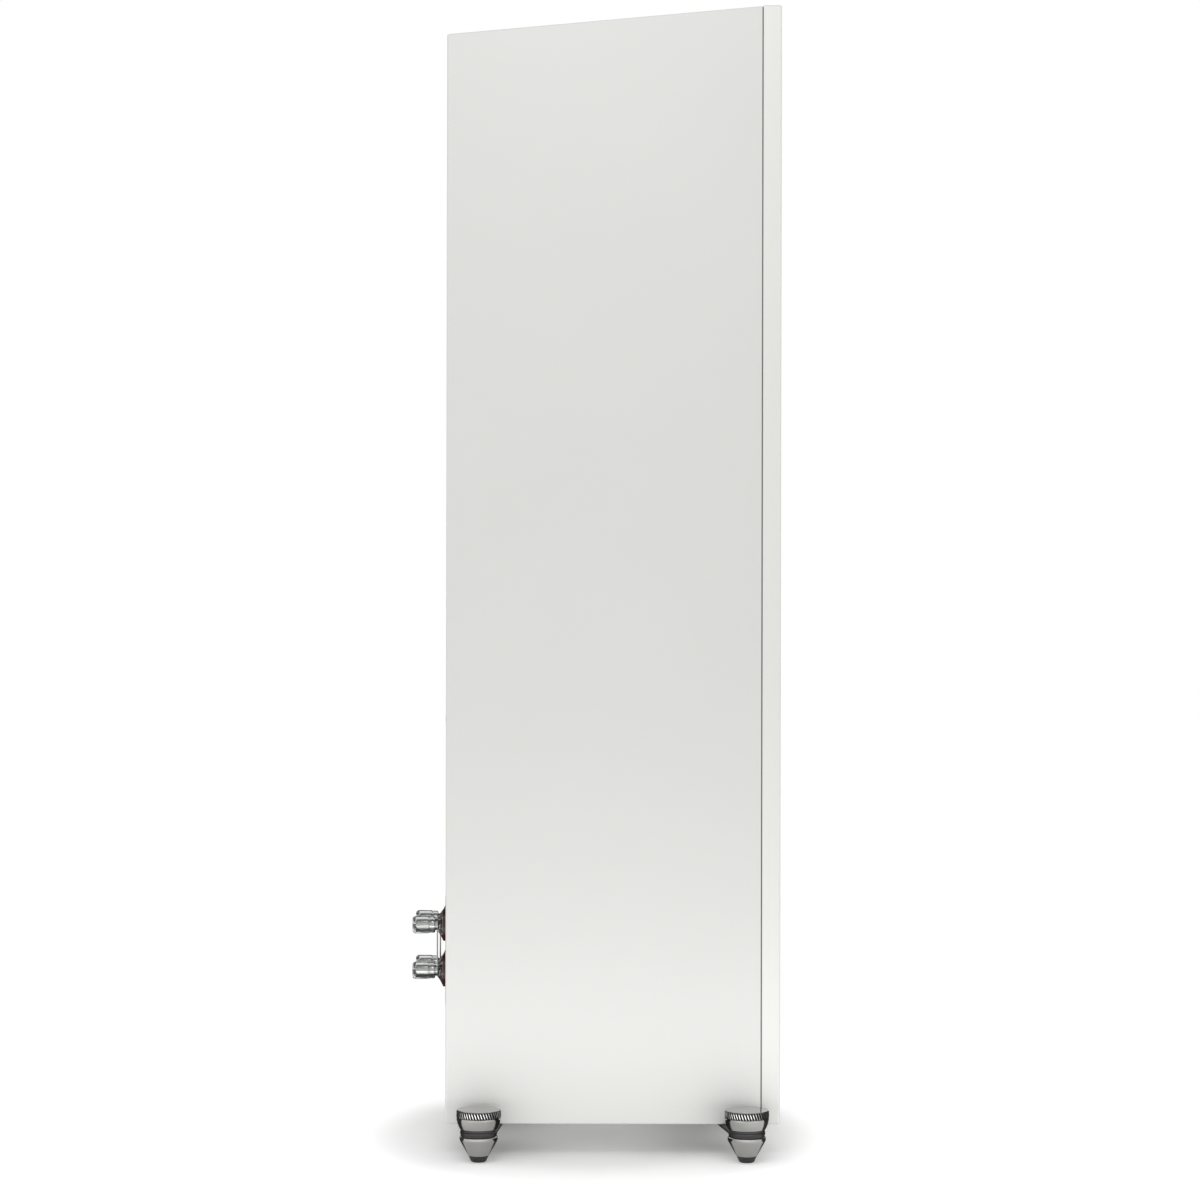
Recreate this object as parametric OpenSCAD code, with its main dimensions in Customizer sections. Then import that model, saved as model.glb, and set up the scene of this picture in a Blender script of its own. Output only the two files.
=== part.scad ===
// Floorstanding three-way loudspeaker on four screw-adjusted outrigger feet.
// Millimetres, +Z up, front towards -Y. The origin is on the floor, at the centre
// of the box that holds the whole speaker.

/* [Cabinet] */
// Outside width of the cabinet
cab_w = 220; // [210:1:260]
// Depth of the cabinet, front baffle included
cab_depth = 329; // [300:1:380]
// Height of the front baffle
baffle_h = 1100; // [1090:5:1200]
// Thickness of every cabinet board
board = 18; // [16:1:19]
// Fall of the top towards the back, in degrees
top_slope = 5.2; // [0:0.1:6]
// Step from the front baffle's top down to the carcass
top_step = 1; // [0:0.5:2]
// Width of the shadow gap behind the front baffle
seam_gap = 1; // [0.5:0.1:2]

/* [Drivers] */
// Height of the tweeter's centre above the floor
tweeter_z = 1040; // [1038:1:1044]
// Height of the midrange's centre above the floor
midrange_z = 894; // [892:1:896]
// Height of the upper woofer's centre above the floor
woofer_upper_z = 712; // [710:1:713]
// Height of the lower woofer's centre above the floor
woofer_lower_z = 530; // [527:1:532]
// Radius of a cone driver's frame
frame_r = 88; // [86:0.5:90]
// Radius of the tweeter's faceplate
faceplate_r = 52; // [50:0.5:54]

/* [Bass port] */
// Height of the port's centre above the floor
port_z = 400; // [385:1:410]
// Inside radius of the port tube
port_r = 35; // [30:0.5:36]
// Length of the straight stretch of the port tube
port_straight = 120; // [80:1:150]

/* [Terminals] */
// Distance between the two columns of binding posts
post_pitch_x = 58; // [50:1:64]
// Height of the lower binding posts above the floor
post_low_z = 171; // [165:1:180]
// Distance from the lower posts up to the upper ones
post_pitch_z = 46; // [42:1:50]
// How far the closed knobs reach behind the back panel
post_reach = 37; // [36:0.5:40]
// Radius of a banana plug's socket
banana_r = 2; // [1.9:0.05:2.2]

/* [Feet] */
// Height of the cabinet's underside above the floor
foot_clear = 30; // [30:0.5:34]
// Distance from the side panel out to a foot's centre
foot_out = 37; // [32:1:45]
// Distance from the front and back faces in to a foot's centre
foot_inset = 34.5; // [30:0.5:45]
// Radius of the threaded stud
stud_r = 4; // [3:0.5:5]

/* [Hidden] */
$fn = 96;
eps = 0.01;

// Planes of the cabinet, worked out from the driving dimensions.
front_y = -(cab_depth + post_reach) / 2;
rear_y = front_y + cab_depth;
carcass_y = front_y + board + seam_gap;
bottom_z = foot_clear;
carcass_front_z = bottom_z + baffle_h - top_step;
carcass_rear_z = carcass_front_z - (rear_y - carcass_y) * tan(top_slope);
inner_w = cab_w - 2 * board;
top_t = board / cos(top_slope);

fit = 0.1;       // clearance between parts that turn or slide on each other
face_gap = 0.1;  // gap between faces of parts that move apart

cone_driver_zs = [midrange_z, woofer_upper_z, woofer_lower_z];
screw_shank_r = 2;
screw_head_r = 4;
screw_head_h = 2.4;
screw_len = 15;

// A shape drawn with +Z outwards, set on the front face at height z.
module on_front(z, x = 0) {
    translate([x, front_y, z]) rotate([90, 0, 0]) children();
}

// A shape drawn with +Z outwards, set on the back face at x and z.
module on_back(x, z) {
    translate([x, rear_y, z]) rotate([-90, 0, 0]) children();
}

// A flat outline in the Y-Z plane, extruded from x0 towards +X.
module side_prism(x0, width, outline) {
    translate([x0, 0, 0]) rotate([90, 0, 90]) linear_extrude(width) polygon(outline);
}

// Places its children at each of count positions on a circle of radius r.
module around(r, count, start = 0) {
    for (i = [0:count - 1])
        rotate(start + i * 360 / count) translate([r, 0, 0]) children();
}

// ---------------------------------------------------------------- cabinet

side_outline = [
    [carcass_y, bottom_z], [rear_y, bottom_z],
    [rear_y, carcass_rear_z], [carcass_y, carcass_front_z]
];

module side_panel(x0) {
    color("whitesmoke") side_prism(x0, board, side_outline);
}

module top_panel() {
    color("whitesmoke") side_prism(-inner_w / 2, inner_w, [
        [carcass_y, carcass_front_z - top_t], [rear_y, carcass_rear_z - top_t],
        [rear_y, carcass_rear_z], [carcass_y, carcass_front_z]
    ]);
}

module bottom_panel() {
    color("whitesmoke") difference() {
        translate([-inner_w / 2, carcass_y, bottom_z])
            cube([inner_w, rear_y - carcass_y, board]);
        at_outrigger_bolts() cylinder(h = 14, r = bolt_r + fit / 2);
        at_board_screws() mirror([0, 0, 1]) cylinder(h = 10, r = screw_shank_r + fit / 2);
    }
}

module back_panel() {
    back_y = rear_y - board;
    back_top_z = carcass_rear_z - top_t;
    color("whitesmoke") difference() {
        side_prism(-inner_w / 2, inner_w, [
            [back_y, bottom_z + board], [rear_y, bottom_z + board],
            [rear_y, back_top_z], [back_y, back_top_z + board * tan(top_slope)]
        ]);
        on_back(0, port_z) translate([0, 0, -board - 1])
            cylinder(h = board + 2, r = port_seat_r + 0.3);
        terminal_window_w = plate_w - 30;
        terminal_window_h = plate_h - 34;
        on_back(0, post_mid_z)
            translate([-terminal_window_w / 2, -terminal_window_h / 2, -board - 1])
                cube([terminal_window_w, terminal_window_h, board + 2]);
        at_plate_screws() mirror([0, 0, 1]) cylinder(h = 13, r = screw_shank_r + fit / 2);
        at_port_screws() mirror([0, 0, 1]) cylinder(h = 14, r = screw_shank_r + fit / 2);
    }
}

rebate = 5.5;  // depth of the seats that the frames are let into

module front_baffle() {
    color("whitesmoke") difference() {
        translate([-cab_w / 2, front_y, bottom_z]) cube([cab_w, board, baffle_h]);
        for (z = cone_driver_zs) on_front(z) {
            translate([0, 0, -rebate]) cylinder(h = rebate + 1, r = frame_r + 0.3);
            translate([0, 0, -board - 1]) cylinder(h = board + 2, r = basket_wall_r + 1);
            around(frame_screw_r, 6, 30) translate([0, 0, -board - 1])
                cylinder(h = board, r = screw_shank_r + fit / 2);
        }
        on_front(tweeter_z) {
            translate([0, 0, -rebate]) cylinder(h = rebate + 1, r = faceplate_r + 0.3);
            translate([0, 0, -board - 1]) cylinder(h = board + 2, r = tweeter_cut_r);
            around(faceplate_screw_r, 4, 45) translate([0, 0, -board - 1])
                cylinder(h = board, r = screw_shank_r + fit / 2);
        }
    }
}

gasket_inset = 1.5;   // leaves the shadow gap open at the outside
gasket_rim = 13;

module baffle_gasket() {
    outer_w = cab_w - 2 * gasket_inset;
    outer_h = carcass_front_z - bottom_z - 2 * gasket_inset;
    color("black") translate([0, front_y + board + seam_gap, bottom_z + gasket_inset])
        rotate([90, 0, 0]) linear_extrude(seam_gap) difference() {
            translate([-outer_w / 2, 0]) square([outer_w, outer_h]);
            translate([-outer_w / 2 + gasket_rim, gasket_rim])
                square([outer_w - 2 * gasket_rim, outer_h - 2 * gasket_rim]);
        }
}

// One shelf board across the inside, with a hole for the wiring loom.
module shelf(z) {
    translate([0, 0, z - board / 2]) difference() {
        translate([-inner_w / 2, carcass_y, 0]) cube([inner_w, rear_y - board - carcass_y, board]);
        translate([loom_x, loom_y, -1]) cylinder(h = board + 2, r = 8);
        children();
    }
}

// Two windows in a brace, with a bridge of board between them.
module brace_windows() {
    rim = 26;
    bridge = 26;
    window_w = inner_w - 2 * rim;
    inner_d = rear_y - board - carcass_y;
    window_d = (inner_d - 2 * rim - bridge) / 2;
    for (i = [0, 1])
        translate([-window_w / 2, carcass_y + rim + i * (window_d + bridge), -1])
            cube([window_w, window_d, board + 2]);
}

module internal_shelves() {
    color("burlywood") {
        shelf((midrange_z + woofer_upper_z) / 2);
        shelf((woofer_upper_z + woofer_lower_z) / 2) brace_windows();
        shelf(309) brace_windows();
    }
}

foam_t = 20;
foam_rows = [[470, 605], [640, 785], [820, 1050]];  // lowest and highest z of each slab

module damping_foam() {
    color("dimgray") for (row = foam_rows)
        translate([-88, rear_y - board - foam_t, row[0]]) cube([138, foam_t, row[1] - row[0]]);
}

// -------------------------------------------------------------- bass port

port_wall = 2.5;
port_flange_r = port_r + 22;
port_flange_t = 2.5;
port_flare = 10;   // radius of the flare at the outer mouth
port_seat_r = port_r + port_flare + 1;
port_screw_r = port_r + 16.5;

// Quarter circle of the flare, from the straight bore out to the mouth.
flare_arc = [
    for (i = [0:8]) let (a = i * 90 / 8)
        [port_r + port_flare * (1 - cos(a)), port_flange_t - port_flare * (1 - sin(a))]
];

module bass_port() {
    z_bore = port_flange_t - port_flare;
    z_in = z_bore - port_straight;
    lip = 7;  // how far the inner mouth flares out
    color("black") on_back(0, port_z) difference() {
        rotate_extrude() polygon(concat(
            [[port_r, z_in]],
            flare_arc,
            [[port_flange_r - 1, port_flange_t], [port_flange_r, port_flange_t - 1],
             [port_flange_r, 0], [port_seat_r, 0], [port_seat_r, -2],
             [port_r + 5, z_bore], [port_r + port_wall, z_bore - 6],
             [port_r + port_wall, z_in - 1], [port_r + 4.5, z_in - 5],
             [port_r + lip + 1, z_in - lip], [port_r + lip, z_in - lip - 1.5],
             [port_r + 3, z_in - 6.5], [port_r + 0.8, z_in - 3.5]]
        ));
        around(port_screw_r, 3, 90) translate([0, 0, -1])
            cylinder(h = 10, r = screw_shank_r + fit);
    }
}

// ---------------------------------------------------------- cone drivers

frame_front = -0.5;   // the frame sits just behind the baffle's face
basket_wall_r = 78.5;
frame_screw_r = 83.5;
ledge_z = -7.5;       // where the surround is glued to the frame
ledge_r = 75.5;
surround_r = [56.5, 60, 71, 75.3];  // inner edge, roll start, roll end, outer edge
rim_z = -8.5;         // top of the cone's rim
spider_z = -40;
coil_r = 16;
plate_z = -54.5;      // front face of the magnet's top plate
plate_t = 6;
ferrite_t = 18;

module driver_basket() {
    difference() {
        rotate_extrude() polygon([
            [ledge_r + 2, frame_front], [frame_r, frame_front], [frame_r, -5],
            [basket_wall_r, -5], [basket_wall_r, -12], [56, -41.5], [50, plate_z],
            [coil_r + 2.5, plate_z], [coil_r + 2.5, plate_z + 3.5], [46, plate_z + 3.5],
            [46, spider_z], [52.5, spider_z], [74.6, -12.5], [70.5, -10],
            [70.5, ledge_z], [ledge_r, ledge_z], [ledge_r, -2]
        ]);
        // Six windows leave six legs.
        for (i = [0:5]) rotate(i * 60) translate([0, 0, -37]) linear_extrude(22.5)
            polygon([for (p = [[50, -18], [90, -19], [90, 19], [50, 18]])
                [p[0] * cos(p[1]), p[0] * sin(p[1])]]);
        around(frame_screw_r, 6, 30) {
            translate([0, 0, -6]) cylinder(h = 7, r = screw_shank_r + fit);
            translate([0, 0, frame_front - screw_head_h - 0.3])
                cylinder(h = 5, r = screw_head_r + 0.3);
        }
    }
}

module driver_baskets() {
    color("darkslategray") for (z = cone_driver_zs) on_front(z) driver_basket();
}

module ring(r_in, r_out, z_low, z_high) {
    rotate_extrude() polygon([[r_in, z_low], [r_out, z_low], [r_out, z_high], [r_in, z_high]]);
}

pole_r = coil_r - 0.8;
vent_r = 6;

module driver_magnet() {
    back_z = plate_z - plate_t - ferrite_t;
    ring(coil_r + 2.3, 52, plate_z - plate_t, plate_z);
    ring(24, 55, back_z, plate_z - plate_t);
    rotate_extrude() polygon([
        [vent_r + 2, back_z - plate_t], [50, back_z - plate_t], [52, back_z - plate_t + 2],
        [52, back_z], [pole_r, back_z], [pole_r, plate_z + 0.5], [vent_r, plate_z + 0.5],
        [vent_r, back_z - plate_t + 2]
    ]);
}

module driver_magnets() {
    color("gray") for (z = cone_driver_zs) on_front(z) driver_magnet();
}

surround_t = 0.8;
roll_r = (surround_r[2] - surround_r[1]) / 2;
roll_mid = (surround_r[2] + surround_r[1]) / 2;

// Half circle of the roll at radius r, from one foot of the roll to the other.
function roll_arc(r, from, to, steps = 12) = [
    for (i = [0:steps]) let (a = from + i * (to - from) / steps)
        [roll_mid + r * cos(a), ledge_z + r * sin(a)]
];

module driver_surround() {
    rotate_extrude() polygon(concat(
        [[surround_r[3], ledge_z], [surround_r[3], ledge_z + surround_t]],
        roll_arc(roll_r, 8, 172),
        [[surround_r[0], rim_z + surround_t], [surround_r[0], rim_z]],
        [[surround_r[1] - 0.4, rim_z]],
        roll_arc(roll_r - surround_t, 180, 0)
    ));
}

module driver_surrounds() {
    color("black") for (z = cone_driver_zs) on_front(z) driver_surround();
}

spider_t = 0.6;
spider_r = [coil_r + 0.7, 20, 46, 52];  // neck, first wave, last wave, outer edge

function spider_wave(lift, steps = 30) = [
    for (i = [0:steps]) let (r = spider_r[1] + (spider_r[2] - spider_r[1]) * i / steps)
        [r, spider_z + lift + 1.5 * (1 - cos(360 * 4 * i / steps)) / 2]
];

function reversed(points) = [for (i = [len(points) - 1:-1:0]) points[i]];

module driver_spider() {
    rotate_extrude() polygon(concat(
        [[spider_r[0], spider_z + spider_t], [spider_r[0], spider_z]],
        spider_wave(0),
        [[spider_r[3], spider_z], [spider_r[3], spider_z + spider_t]],
        reversed(spider_wave(spider_t))
    ));
}

module driver_spiders() {
    color("goldenrod") for (z = cone_driver_zs) on_front(z) driver_spider();
}

cone_t = 0.8;
dish_r = 20;        // where the flank turns into the concave centre
dish_edge_z = -28.5;
dish_depth = 4;

function flank_z(r) = dish_edge_z
    + (rim_z - dish_edge_z) * pow((r - dish_r) / (surround_r[0] - dish_r), 0.88);
function dish_z(r) = dish_edge_z - dish_depth * (1 - pow(r / dish_r, 2));
cone_top = concat(
    [for (i = [0:6]) let (r = dish_r * i / 6) [r, dish_z(r)]],
    [for (i = [1:9]) let (r = dish_r + (surround_r[0] - dish_r) * i / 9) [r, flank_z(r)]],
    [[surround_r[1] - 0.5, rim_z]]
);

// One-piece diaphragm: flank, flat rim and concave centre.
module driver_cone(z) {
    under = [for (p = cone_top) [p[0], p[1] - cone_t]];
    color("silver") on_front(z) rotate_extrude() polygon(concat(cone_top, reversed(under)));
}

module driver_coil(z) {
    color("peru") on_front(z) rotate_extrude() polygon([
        [coil_r - 0.2, dish_z(coil_r - 0.2) - cone_t], [coil_r + 0.3, dish_z(coil_r + 0.3) - cone_t],
        [coil_r + 0.3, -50], [coil_r + 1.4, -50],
        [coil_r + 1.4, -66], [coil_r - 0.2, -66]
    ]);
}

// --------------------------------------------------------------- tweeter

tweeter_cut_r = 42;
faceplate_screw_r = 46.5;
dome_r = 12.7;
dome_h = 6;
throat_r = 15.2;
throat_z = -11.5;
horn_r = 40;

function horn_curve(steps = 10) = [
    for (i = [0:steps]) let (a = 90 * i / steps)
        [horn_r - (horn_r - throat_r) * (1 - cos(a)),
         frame_front - 0.4 + (throat_z - frame_front + 0.4) * (1 - cos(a)) * (0.4 + 0.6 * sin(a))]
];

module tweeter_waveguide() {
    color("black") on_front(tweeter_z) difference() {
        rotate_extrude() polygon(concat(
            [[throat_r, -14.5], [41, -14.5], [41, -5], [faceplate_r, -5],
             [faceplate_r, frame_front], [horn_r + 0.6, frame_front]],
            horn_curve()
        ));
        around(faceplate_screw_r, 4, 45) {
            translate([0, 0, -6]) cylinder(h = 7, r = screw_shank_r + fit);
            translate([0, 0, frame_front - screw_head_h - 0.3])
                cylinder(h = 5, r = screw_head_r + 0.3);
        }
    }
}

dome_z = -12.5;
dome_t = 0.5;

// Dome with its suspension ring and the tube that carries its coil.
module tweeter_dome() {
    cap = [for (i = [0:8]) let (a = 85 * i / 8) [dome_r * sin(a), dome_z + dome_h * cos(a)]];
    inner = [for (p = cap) [p[0] * (dome_r - dome_t) / dome_r, p[1] - dome_t]];
    color("dimgray") on_front(tweeter_z) rotate_extrude() polygon(concat(
        cap,
        [[dome_r + 0.3, dome_z + 0.3], [dome_r + 0.8, dome_z + 0.8], [dome_r + 1.5, dome_z + 0.9],
         [14.8, dome_z + 0.2], [14.8, dome_z - 0.3], [dome_r + 1.3, dome_z + 0.4],
         [dome_r, dome_z - 0.4], [dome_r, dome_z - 8], [dome_r - dome_t, dome_z - 8]],
        reversed(inner)
    ));
}

module tweeter_magnet() {
    color("gray") on_front(tweeter_z) {
        ring(dome_r + 0.5, 34, -18.5, -14.5);
        ring(22, 36, -30.5, -18.5);
        rotate_extrude() polygon([
            [0, -34.5], [34, -34.5], [34, -30.5], [dome_r - 1.1, -30.5],
            [dome_r - 1.1, -16.5], [0, -16.5]
        ]);
        ring(0, 28, -50, -34.5);
    }
}

// ------------------------------------------------------------- crossover

board_size = [150, 190, 1.6];
standoff_h = 5;
board_at = [-78, -80, bottom_z + board + standoff_h];
board_screw_inset = 7;

module at_board_screws() {
    for (x = [board_screw_inset, board_size[0] - board_screw_inset])
        for (y = [board_screw_inset, board_size[1] - board_screw_inset])
            translate([board_at[0] + x, board_at[1] + y, bottom_z + board]) children();
}

module crossover_board() {
    color("darkolivegreen") difference() {
        translate(board_at) cube(board_size);
        at_board_screws() cylinder(h = 20, r = screw_shank_r + fit);
    }
    color("ivory") at_board_screws() difference() {
        cylinder(h = standoff_h, r = 4);
        translate([0, 0, -1]) cylinder(h = standoff_h + 2, r = screw_shank_r + fit);
    }
}

board_top = board_at[2] + board_size[2];

module crossover_inductors() {
    // x, y, outer radius and height of each coil
    coils = [[-48, -48, 24, 22], [-48, 8, 22, 20], [4, -50, 20, 18], [-52, 60, 18, 16]];
    color("peru") for (c = coils) translate([c[0], c[1], board_top]) difference() {
        cylinder(h = c[3], r = c[2]);
        translate([0, 0, -1]) cylinder(h = c[3] + 2, r = c[2] * 0.42);
    }
}

module crossover_capacitors() {
    // x, y, radius and length of each capacitor, which lies along Y
    cans = [[2, -14, 11, 42], [32, -20, 9, 38], [54, -18, 9, 38], [-14, 46, 10, 40], [14, 46, 9, 36]];
    color("saddlebrown") for (c = cans)
        translate([c[0], c[1], board_top + c[2]]) rotate([-90, 0, 0]) cylinder(h = c[3], r = c[2]);
}

module crossover_resistors() {
    color("beige") for (i = [0:2])
        translate([36 + i * 11, 38, board_top]) cube([8, 46, 9]);
}

// ---------------------------------------------------------------- wiring

loom_x = 72;
loom_y = 106;
loom_r = 4;
lead_r = 2.2;

// A lead that leaves the loom at height z and runs to the tab at tab_x behind a driver.
module driver_lead(z, tab_y, tab_x) {
    translate([loom_x, loom_y, z]) rotate([90, 0, 0]) cylinder(h = loom_y - tab_y, r = lead_r);
    translate([loom_x, tab_y, z]) sphere(r = lead_r);
    translate([tab_x, tab_y, z]) rotate([0, 90, 0]) cylinder(h = loom_x - tab_x, r = lead_r);
}

// A lead from the inner end of a binding post to the loom.
module post_lead(x, lead_y, z) {
    post_end_y = rear_y - post_tail;
    translate([x, lead_y, z]) rotate([-90, 0, 0]) cylinder(h = post_end_y - lead_y, r = lead_r);
    translate([x, lead_y, z]) sphere(r = lead_r);
    translate([x, lead_y, z]) rotate([0, 90, 0]) cylinder(h = loom_x - x, r = lead_r);
}

module internal_wiring() {
    loom_low = board_top + 6;
    loom_top = tweeter_z;
    color("firebrick") {
        translate([loom_x, loom_y, loom_low]) cylinder(h = loom_top - loom_low, r = loom_r);
        translate([loom_x, loom_y, loom_top]) sphere(r = loom_r);
        translate([loom_x, loom_y, loom_low]) sphere(r = loom_r);
        // From the board to the loom's foot
        translate([loom_x, board_at[1] + board_size[1] - 30, loom_low]) rotate([-90, 0, 0])
            cylinder(h = loom_y - board_at[1] - board_size[1] + 30, r = lead_r);
        for (x = [-1, 1]) for (z = post_zs) post_lead(x * post_pitch_x / 2, loom_y + x * 3, z);
        for (z = cone_driver_zs) driver_lead(z, front_y + 70, 58);
        driver_lead(tweeter_z, front_y + 42, 40);
    }
}

// ---------------------------------------------------------------- screws

// Pan-head screw with its head's seat at z = 0 and its shank pointing down.
module wood_screw() {
    difference() {
        union() {
            cylinder(h = screw_head_h, r = screw_head_r);
            translate([0, 0, -screw_len + screw_head_h]) cylinder(h = screw_len, r = screw_shank_r);
        }
        translate([0, 0, 1]) cylinder(h = screw_head_h, r = 1.6, $fn = 6);
    }
}

module at_plate_screws() {
    for (x = [-1, 1]) for (z = [-1, 1])
        on_back(x * (plate_w / 2 - 8), post_mid_z + z * (plate_h / 2 - 8)) children();
}

module at_port_screws() {
    on_back(0, port_z) around(port_screw_r, 3, 90) children();
}

module panel_screws() {
    color("black") {
        for (z = cone_driver_zs) on_front(z) around(frame_screw_r, 6, 30)
            translate([0, 0, frame_front - screw_head_h - 0.3]) wood_screw();
        on_front(tweeter_z) around(faceplate_screw_r, 4, 45)
            translate([0, 0, frame_front - screw_head_h - 0.3]) wood_screw();
        at_plate_screws() translate([0, 0, plate_t_back - screw_head_h]) wood_screw();
        at_port_screws() translate([0, 0, port_flange_t]) wood_screw();
        at_board_screws() translate([0, 0, standoff_h + board_size[2]]) wood_screw();
    }
}

// ------------------------------------------------------------- terminals

plate_w = 108;
plate_h = 116;
plate_t_back = 3;
plate_corner = 8;
post_zs = [post_low_z, post_low_z + post_pitch_z];
post_mid_z = post_low_z + post_pitch_z / 2;
post_r = 3.6;
post_tail = 14;  // how far a post reaches in from the back face
ring_top = 6.6;     // polarity ring, measured out from the back face
cone_top_z = 11.7;  // where the jumper link is clamped
link_t = 1.2;
washer_t = 1.2;
knob_z = cone_top_z + link_t + washer_t + 2 * face_gap;
socket_floor = 17.5;

module at_posts() {
    for (x = [-1, 1]) for (z = post_zs) on_back(x * post_pitch_x / 2, z) children();
}

module terminal_plate() {
    color("black") difference() {
        on_back(0, post_mid_z) linear_extrude(plate_t_back) difference() {
            union() {
                square([plate_w - 2 * plate_corner, plate_h], center = true);
                square([plate_w, plate_h - 2 * plate_corner], center = true);
                for (x = [-1, 1]) for (y = [-1, 1])
                    translate([x * (plate_w / 2 - plate_corner), y * (plate_h / 2 - plate_corner)])
                        circle(r = plate_corner);
            }
        }
        at_posts() translate([0, 0, -1]) cylinder(h = 10, r = post_r + fit);
        at_plate_screws() translate([0, 0, -1]) cylinder(h = 10, r = screw_shank_r + fit);
        at_plate_screws() translate([0, 0, plate_t_back - screw_head_h - fit]) cylinder(h = 5, r = screw_head_r + 0.2);
    }
}

module polarity_rings() {
    color("darkred") at_posts() rotate_extrude() polygon([
        [post_r + fit, plate_t_back], [16.2, plate_t_back], [16.2, 6.2],
        [15.2, ring_top], [post_r + fit, ring_top]
    ]);
}

module post_cones() {
    color("silver") at_posts() rotate_extrude() polygon([
        [post_r + fit, ring_top], [15, ring_top], [12, 8.3], [9.4, 9.7], [7.6, 10.9],
        [6.9, cone_top_z], [post_r + fit, cone_top_z]
    ]);
}

module binding_posts() {
    color("gold") at_posts() difference() {
        union() {
            translate([0, 0, -post_tail]) cylinder(h = post_tail + 33.5, r = post_r);
            translate([0, 0, -5]) cylinder(h = 5, r = 6.5, $fn = 6);
        }
        translate([0, 0, socket_floor]) cylinder(h = 30, r = banana_r);
        // Cross hole for bare wire, which the knob uncovers when it is screwed out
        translate([-10, 0, knob_z + 1.5]) rotate([0, 90, 0]) cylinder(h = 20, r = 1.2);
    }
}

module jumper_links() {
    color("gold") for (x = [-1, 1]) on_back(x * post_pitch_x / 2, post_mid_z)
        translate([0, 0, cone_top_z]) linear_extrude(link_t) difference() {
            union() {
                square([8, post_pitch_z], center = true);
                for (y = [-1, 1]) translate([0, y * post_pitch_z / 2]) circle(r = 6);
            }
            for (y = [-1, 1]) translate([0, y * post_pitch_z / 2]) circle(r = post_r + fit);
        }
}

module post_washer(side, level) {
    color("silver") on_back(side * post_pitch_x / 2, post_zs[level])
        ring(post_r + fit, 5.4, cone_top_z + link_t + face_gap, knob_z - face_gap);
}

module post_knob(side, level) {
    color("gainsboro") on_back(side * post_pitch_x / 2, post_zs[level]) rotate_extrude() polygon([
        [post_r + fit, knob_z], [7.2, knob_z], [8.1, knob_z + 1], [8.1, 20.6], [8.75, 21.4],
        [8.75, post_reach - 1.6], [7.6, post_reach], [banana_r + 0.6, post_reach],
        [banana_r + 0.6, 34], [post_r + fit, 34]
    ]);
}

// ------------------------------------------------------------------ feet

foot_x = cab_w / 2 + foot_out;
foot_ys = [front_y + foot_inset, rear_y - foot_inset];
arm_t = 3;
arm_z = foot_clear - arm_t;
boss_z = arm_z - 1.7;
tip_top = 6.3;
bolt_r = 3;
// Bolt places on an arm, as x and distance towards the cabinet's middle
bolt_spots = [[62, -8], [62, 18], [83, 5]];
// How far the inner edges of the front and rear arms spread at the arm's root
arm_spread = [34, 25];

module at_outrigger_bolts() {
    for (sx = [-1, 1]) for (i = [0, 1]) for (b = bolt_spots)
        translate([sx * b[0], foot_ys[i] + (i == 0 ? 1 : -1) * b[1], foot_clear - 0.01]) children();
}

// Flat arm: its outer edge runs straight in and its inner edge widens under the cabinet.
module outrigger(sx, i) {
    inward = i == 0 ? 1 : -1;
    end_r = 18;
    root_x = 50;
    corner = 6;
    spread = arm_spread[i];
    difference() {
        union() {
            translate([0, 0, arm_z]) linear_extrude(arm_t) {
                translate([sx * foot_x, foot_ys[i]]) circle(r = end_r);
                polygon([
                    [sx * foot_x, foot_ys[i] - inward * end_r],
                    [sx * (root_x + corner), foot_ys[i] - inward * end_r],
                    [sx * root_x, foot_ys[i] - inward * (end_r - corner)],
                    [sx * root_x, foot_ys[i] + inward * (spread - corner)],
                    [sx * (root_x + corner), foot_ys[i] + inward * spread],
                    [sx * (foot_x - 3.5), foot_ys[i] + inward * (end_r - 0.35)],
                    [sx * foot_x, foot_ys[i]]
                ]);
            }
            translate([sx * foot_x, foot_ys[i], boss_z])
                cylinder(h = arm_z - boss_z + 1, r = end_r - 0.5);
        }
        translate([sx * foot_x, foot_ys[i], 0]) cylinder(h = 60, r = stud_r + fit);
        for (b = bolt_spots) translate([sx * b[0], foot_ys[i] + inward * b[1], arm_z - 1])
            cylinder(h = 10, r = bolt_r + fit);
    }
}

module outriggers() {
    color("black") for (sx = [-1, 1]) for (i = [0, 1]) outrigger(sx, i);
}

module outrigger_bolts() {
    head_h = 3;
    color("black") at_outrigger_bolts() translate([0, 0, -arm_t + 0.01]) difference() {
        union() {
            translate([0, 0, -head_h]) cylinder(h = head_h, r = 5);
            cylinder(h = 15, r = bolt_r);
        }
        translate([0, 0, -head_h - 0.1]) cylinder(h = 2, r = 2, $fn = 6);
    }
}

module at_foot(sx, i) {
    translate([sx * foot_x, foot_ys[i], 0]) children();
}

tip_stem_r = 4;

module foot_tip(sx, i) {
    color("black") at_foot(sx, i) rotate_extrude() polygon([
        [0, 0], [5.2, 0], [6.2, 0.3], [7, 1.1], [9.6, tip_top - face_gap],
        [tip_stem_r, tip_top - face_gap], [tip_stem_r, 14], [0, 14]
    ]);
}

// Turned cone and its stud in one piece, on a bore that turns on the tip's stem.
module foot_cone(sx, i) {
    color("slategray") at_foot(sx, i) rotate_extrude() polygon([
        [tip_stem_r + fit, tip_top], [9.9, tip_top], [10.2, 6.8], [17.9, 20.3], [18.4, 21.6],
        [18.5, 24.4], [17.8, boss_z - face_gap], [stud_r, boss_z - face_gap], [stud_r, 47.5],
        [stud_r - 0.8, 48.3], [0, 48.3], [0, 14.6], [tip_stem_r + fit, 14.6]
    ]);
}

lock_z = foot_clear + face_gap;
lock_washer_t = 2.3;

module lock_washer(sx, i) {
    color("black") at_foot(sx, i) ring(stud_r + fit, 17.6, lock_z, lock_z + lock_washer_t);
}

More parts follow.
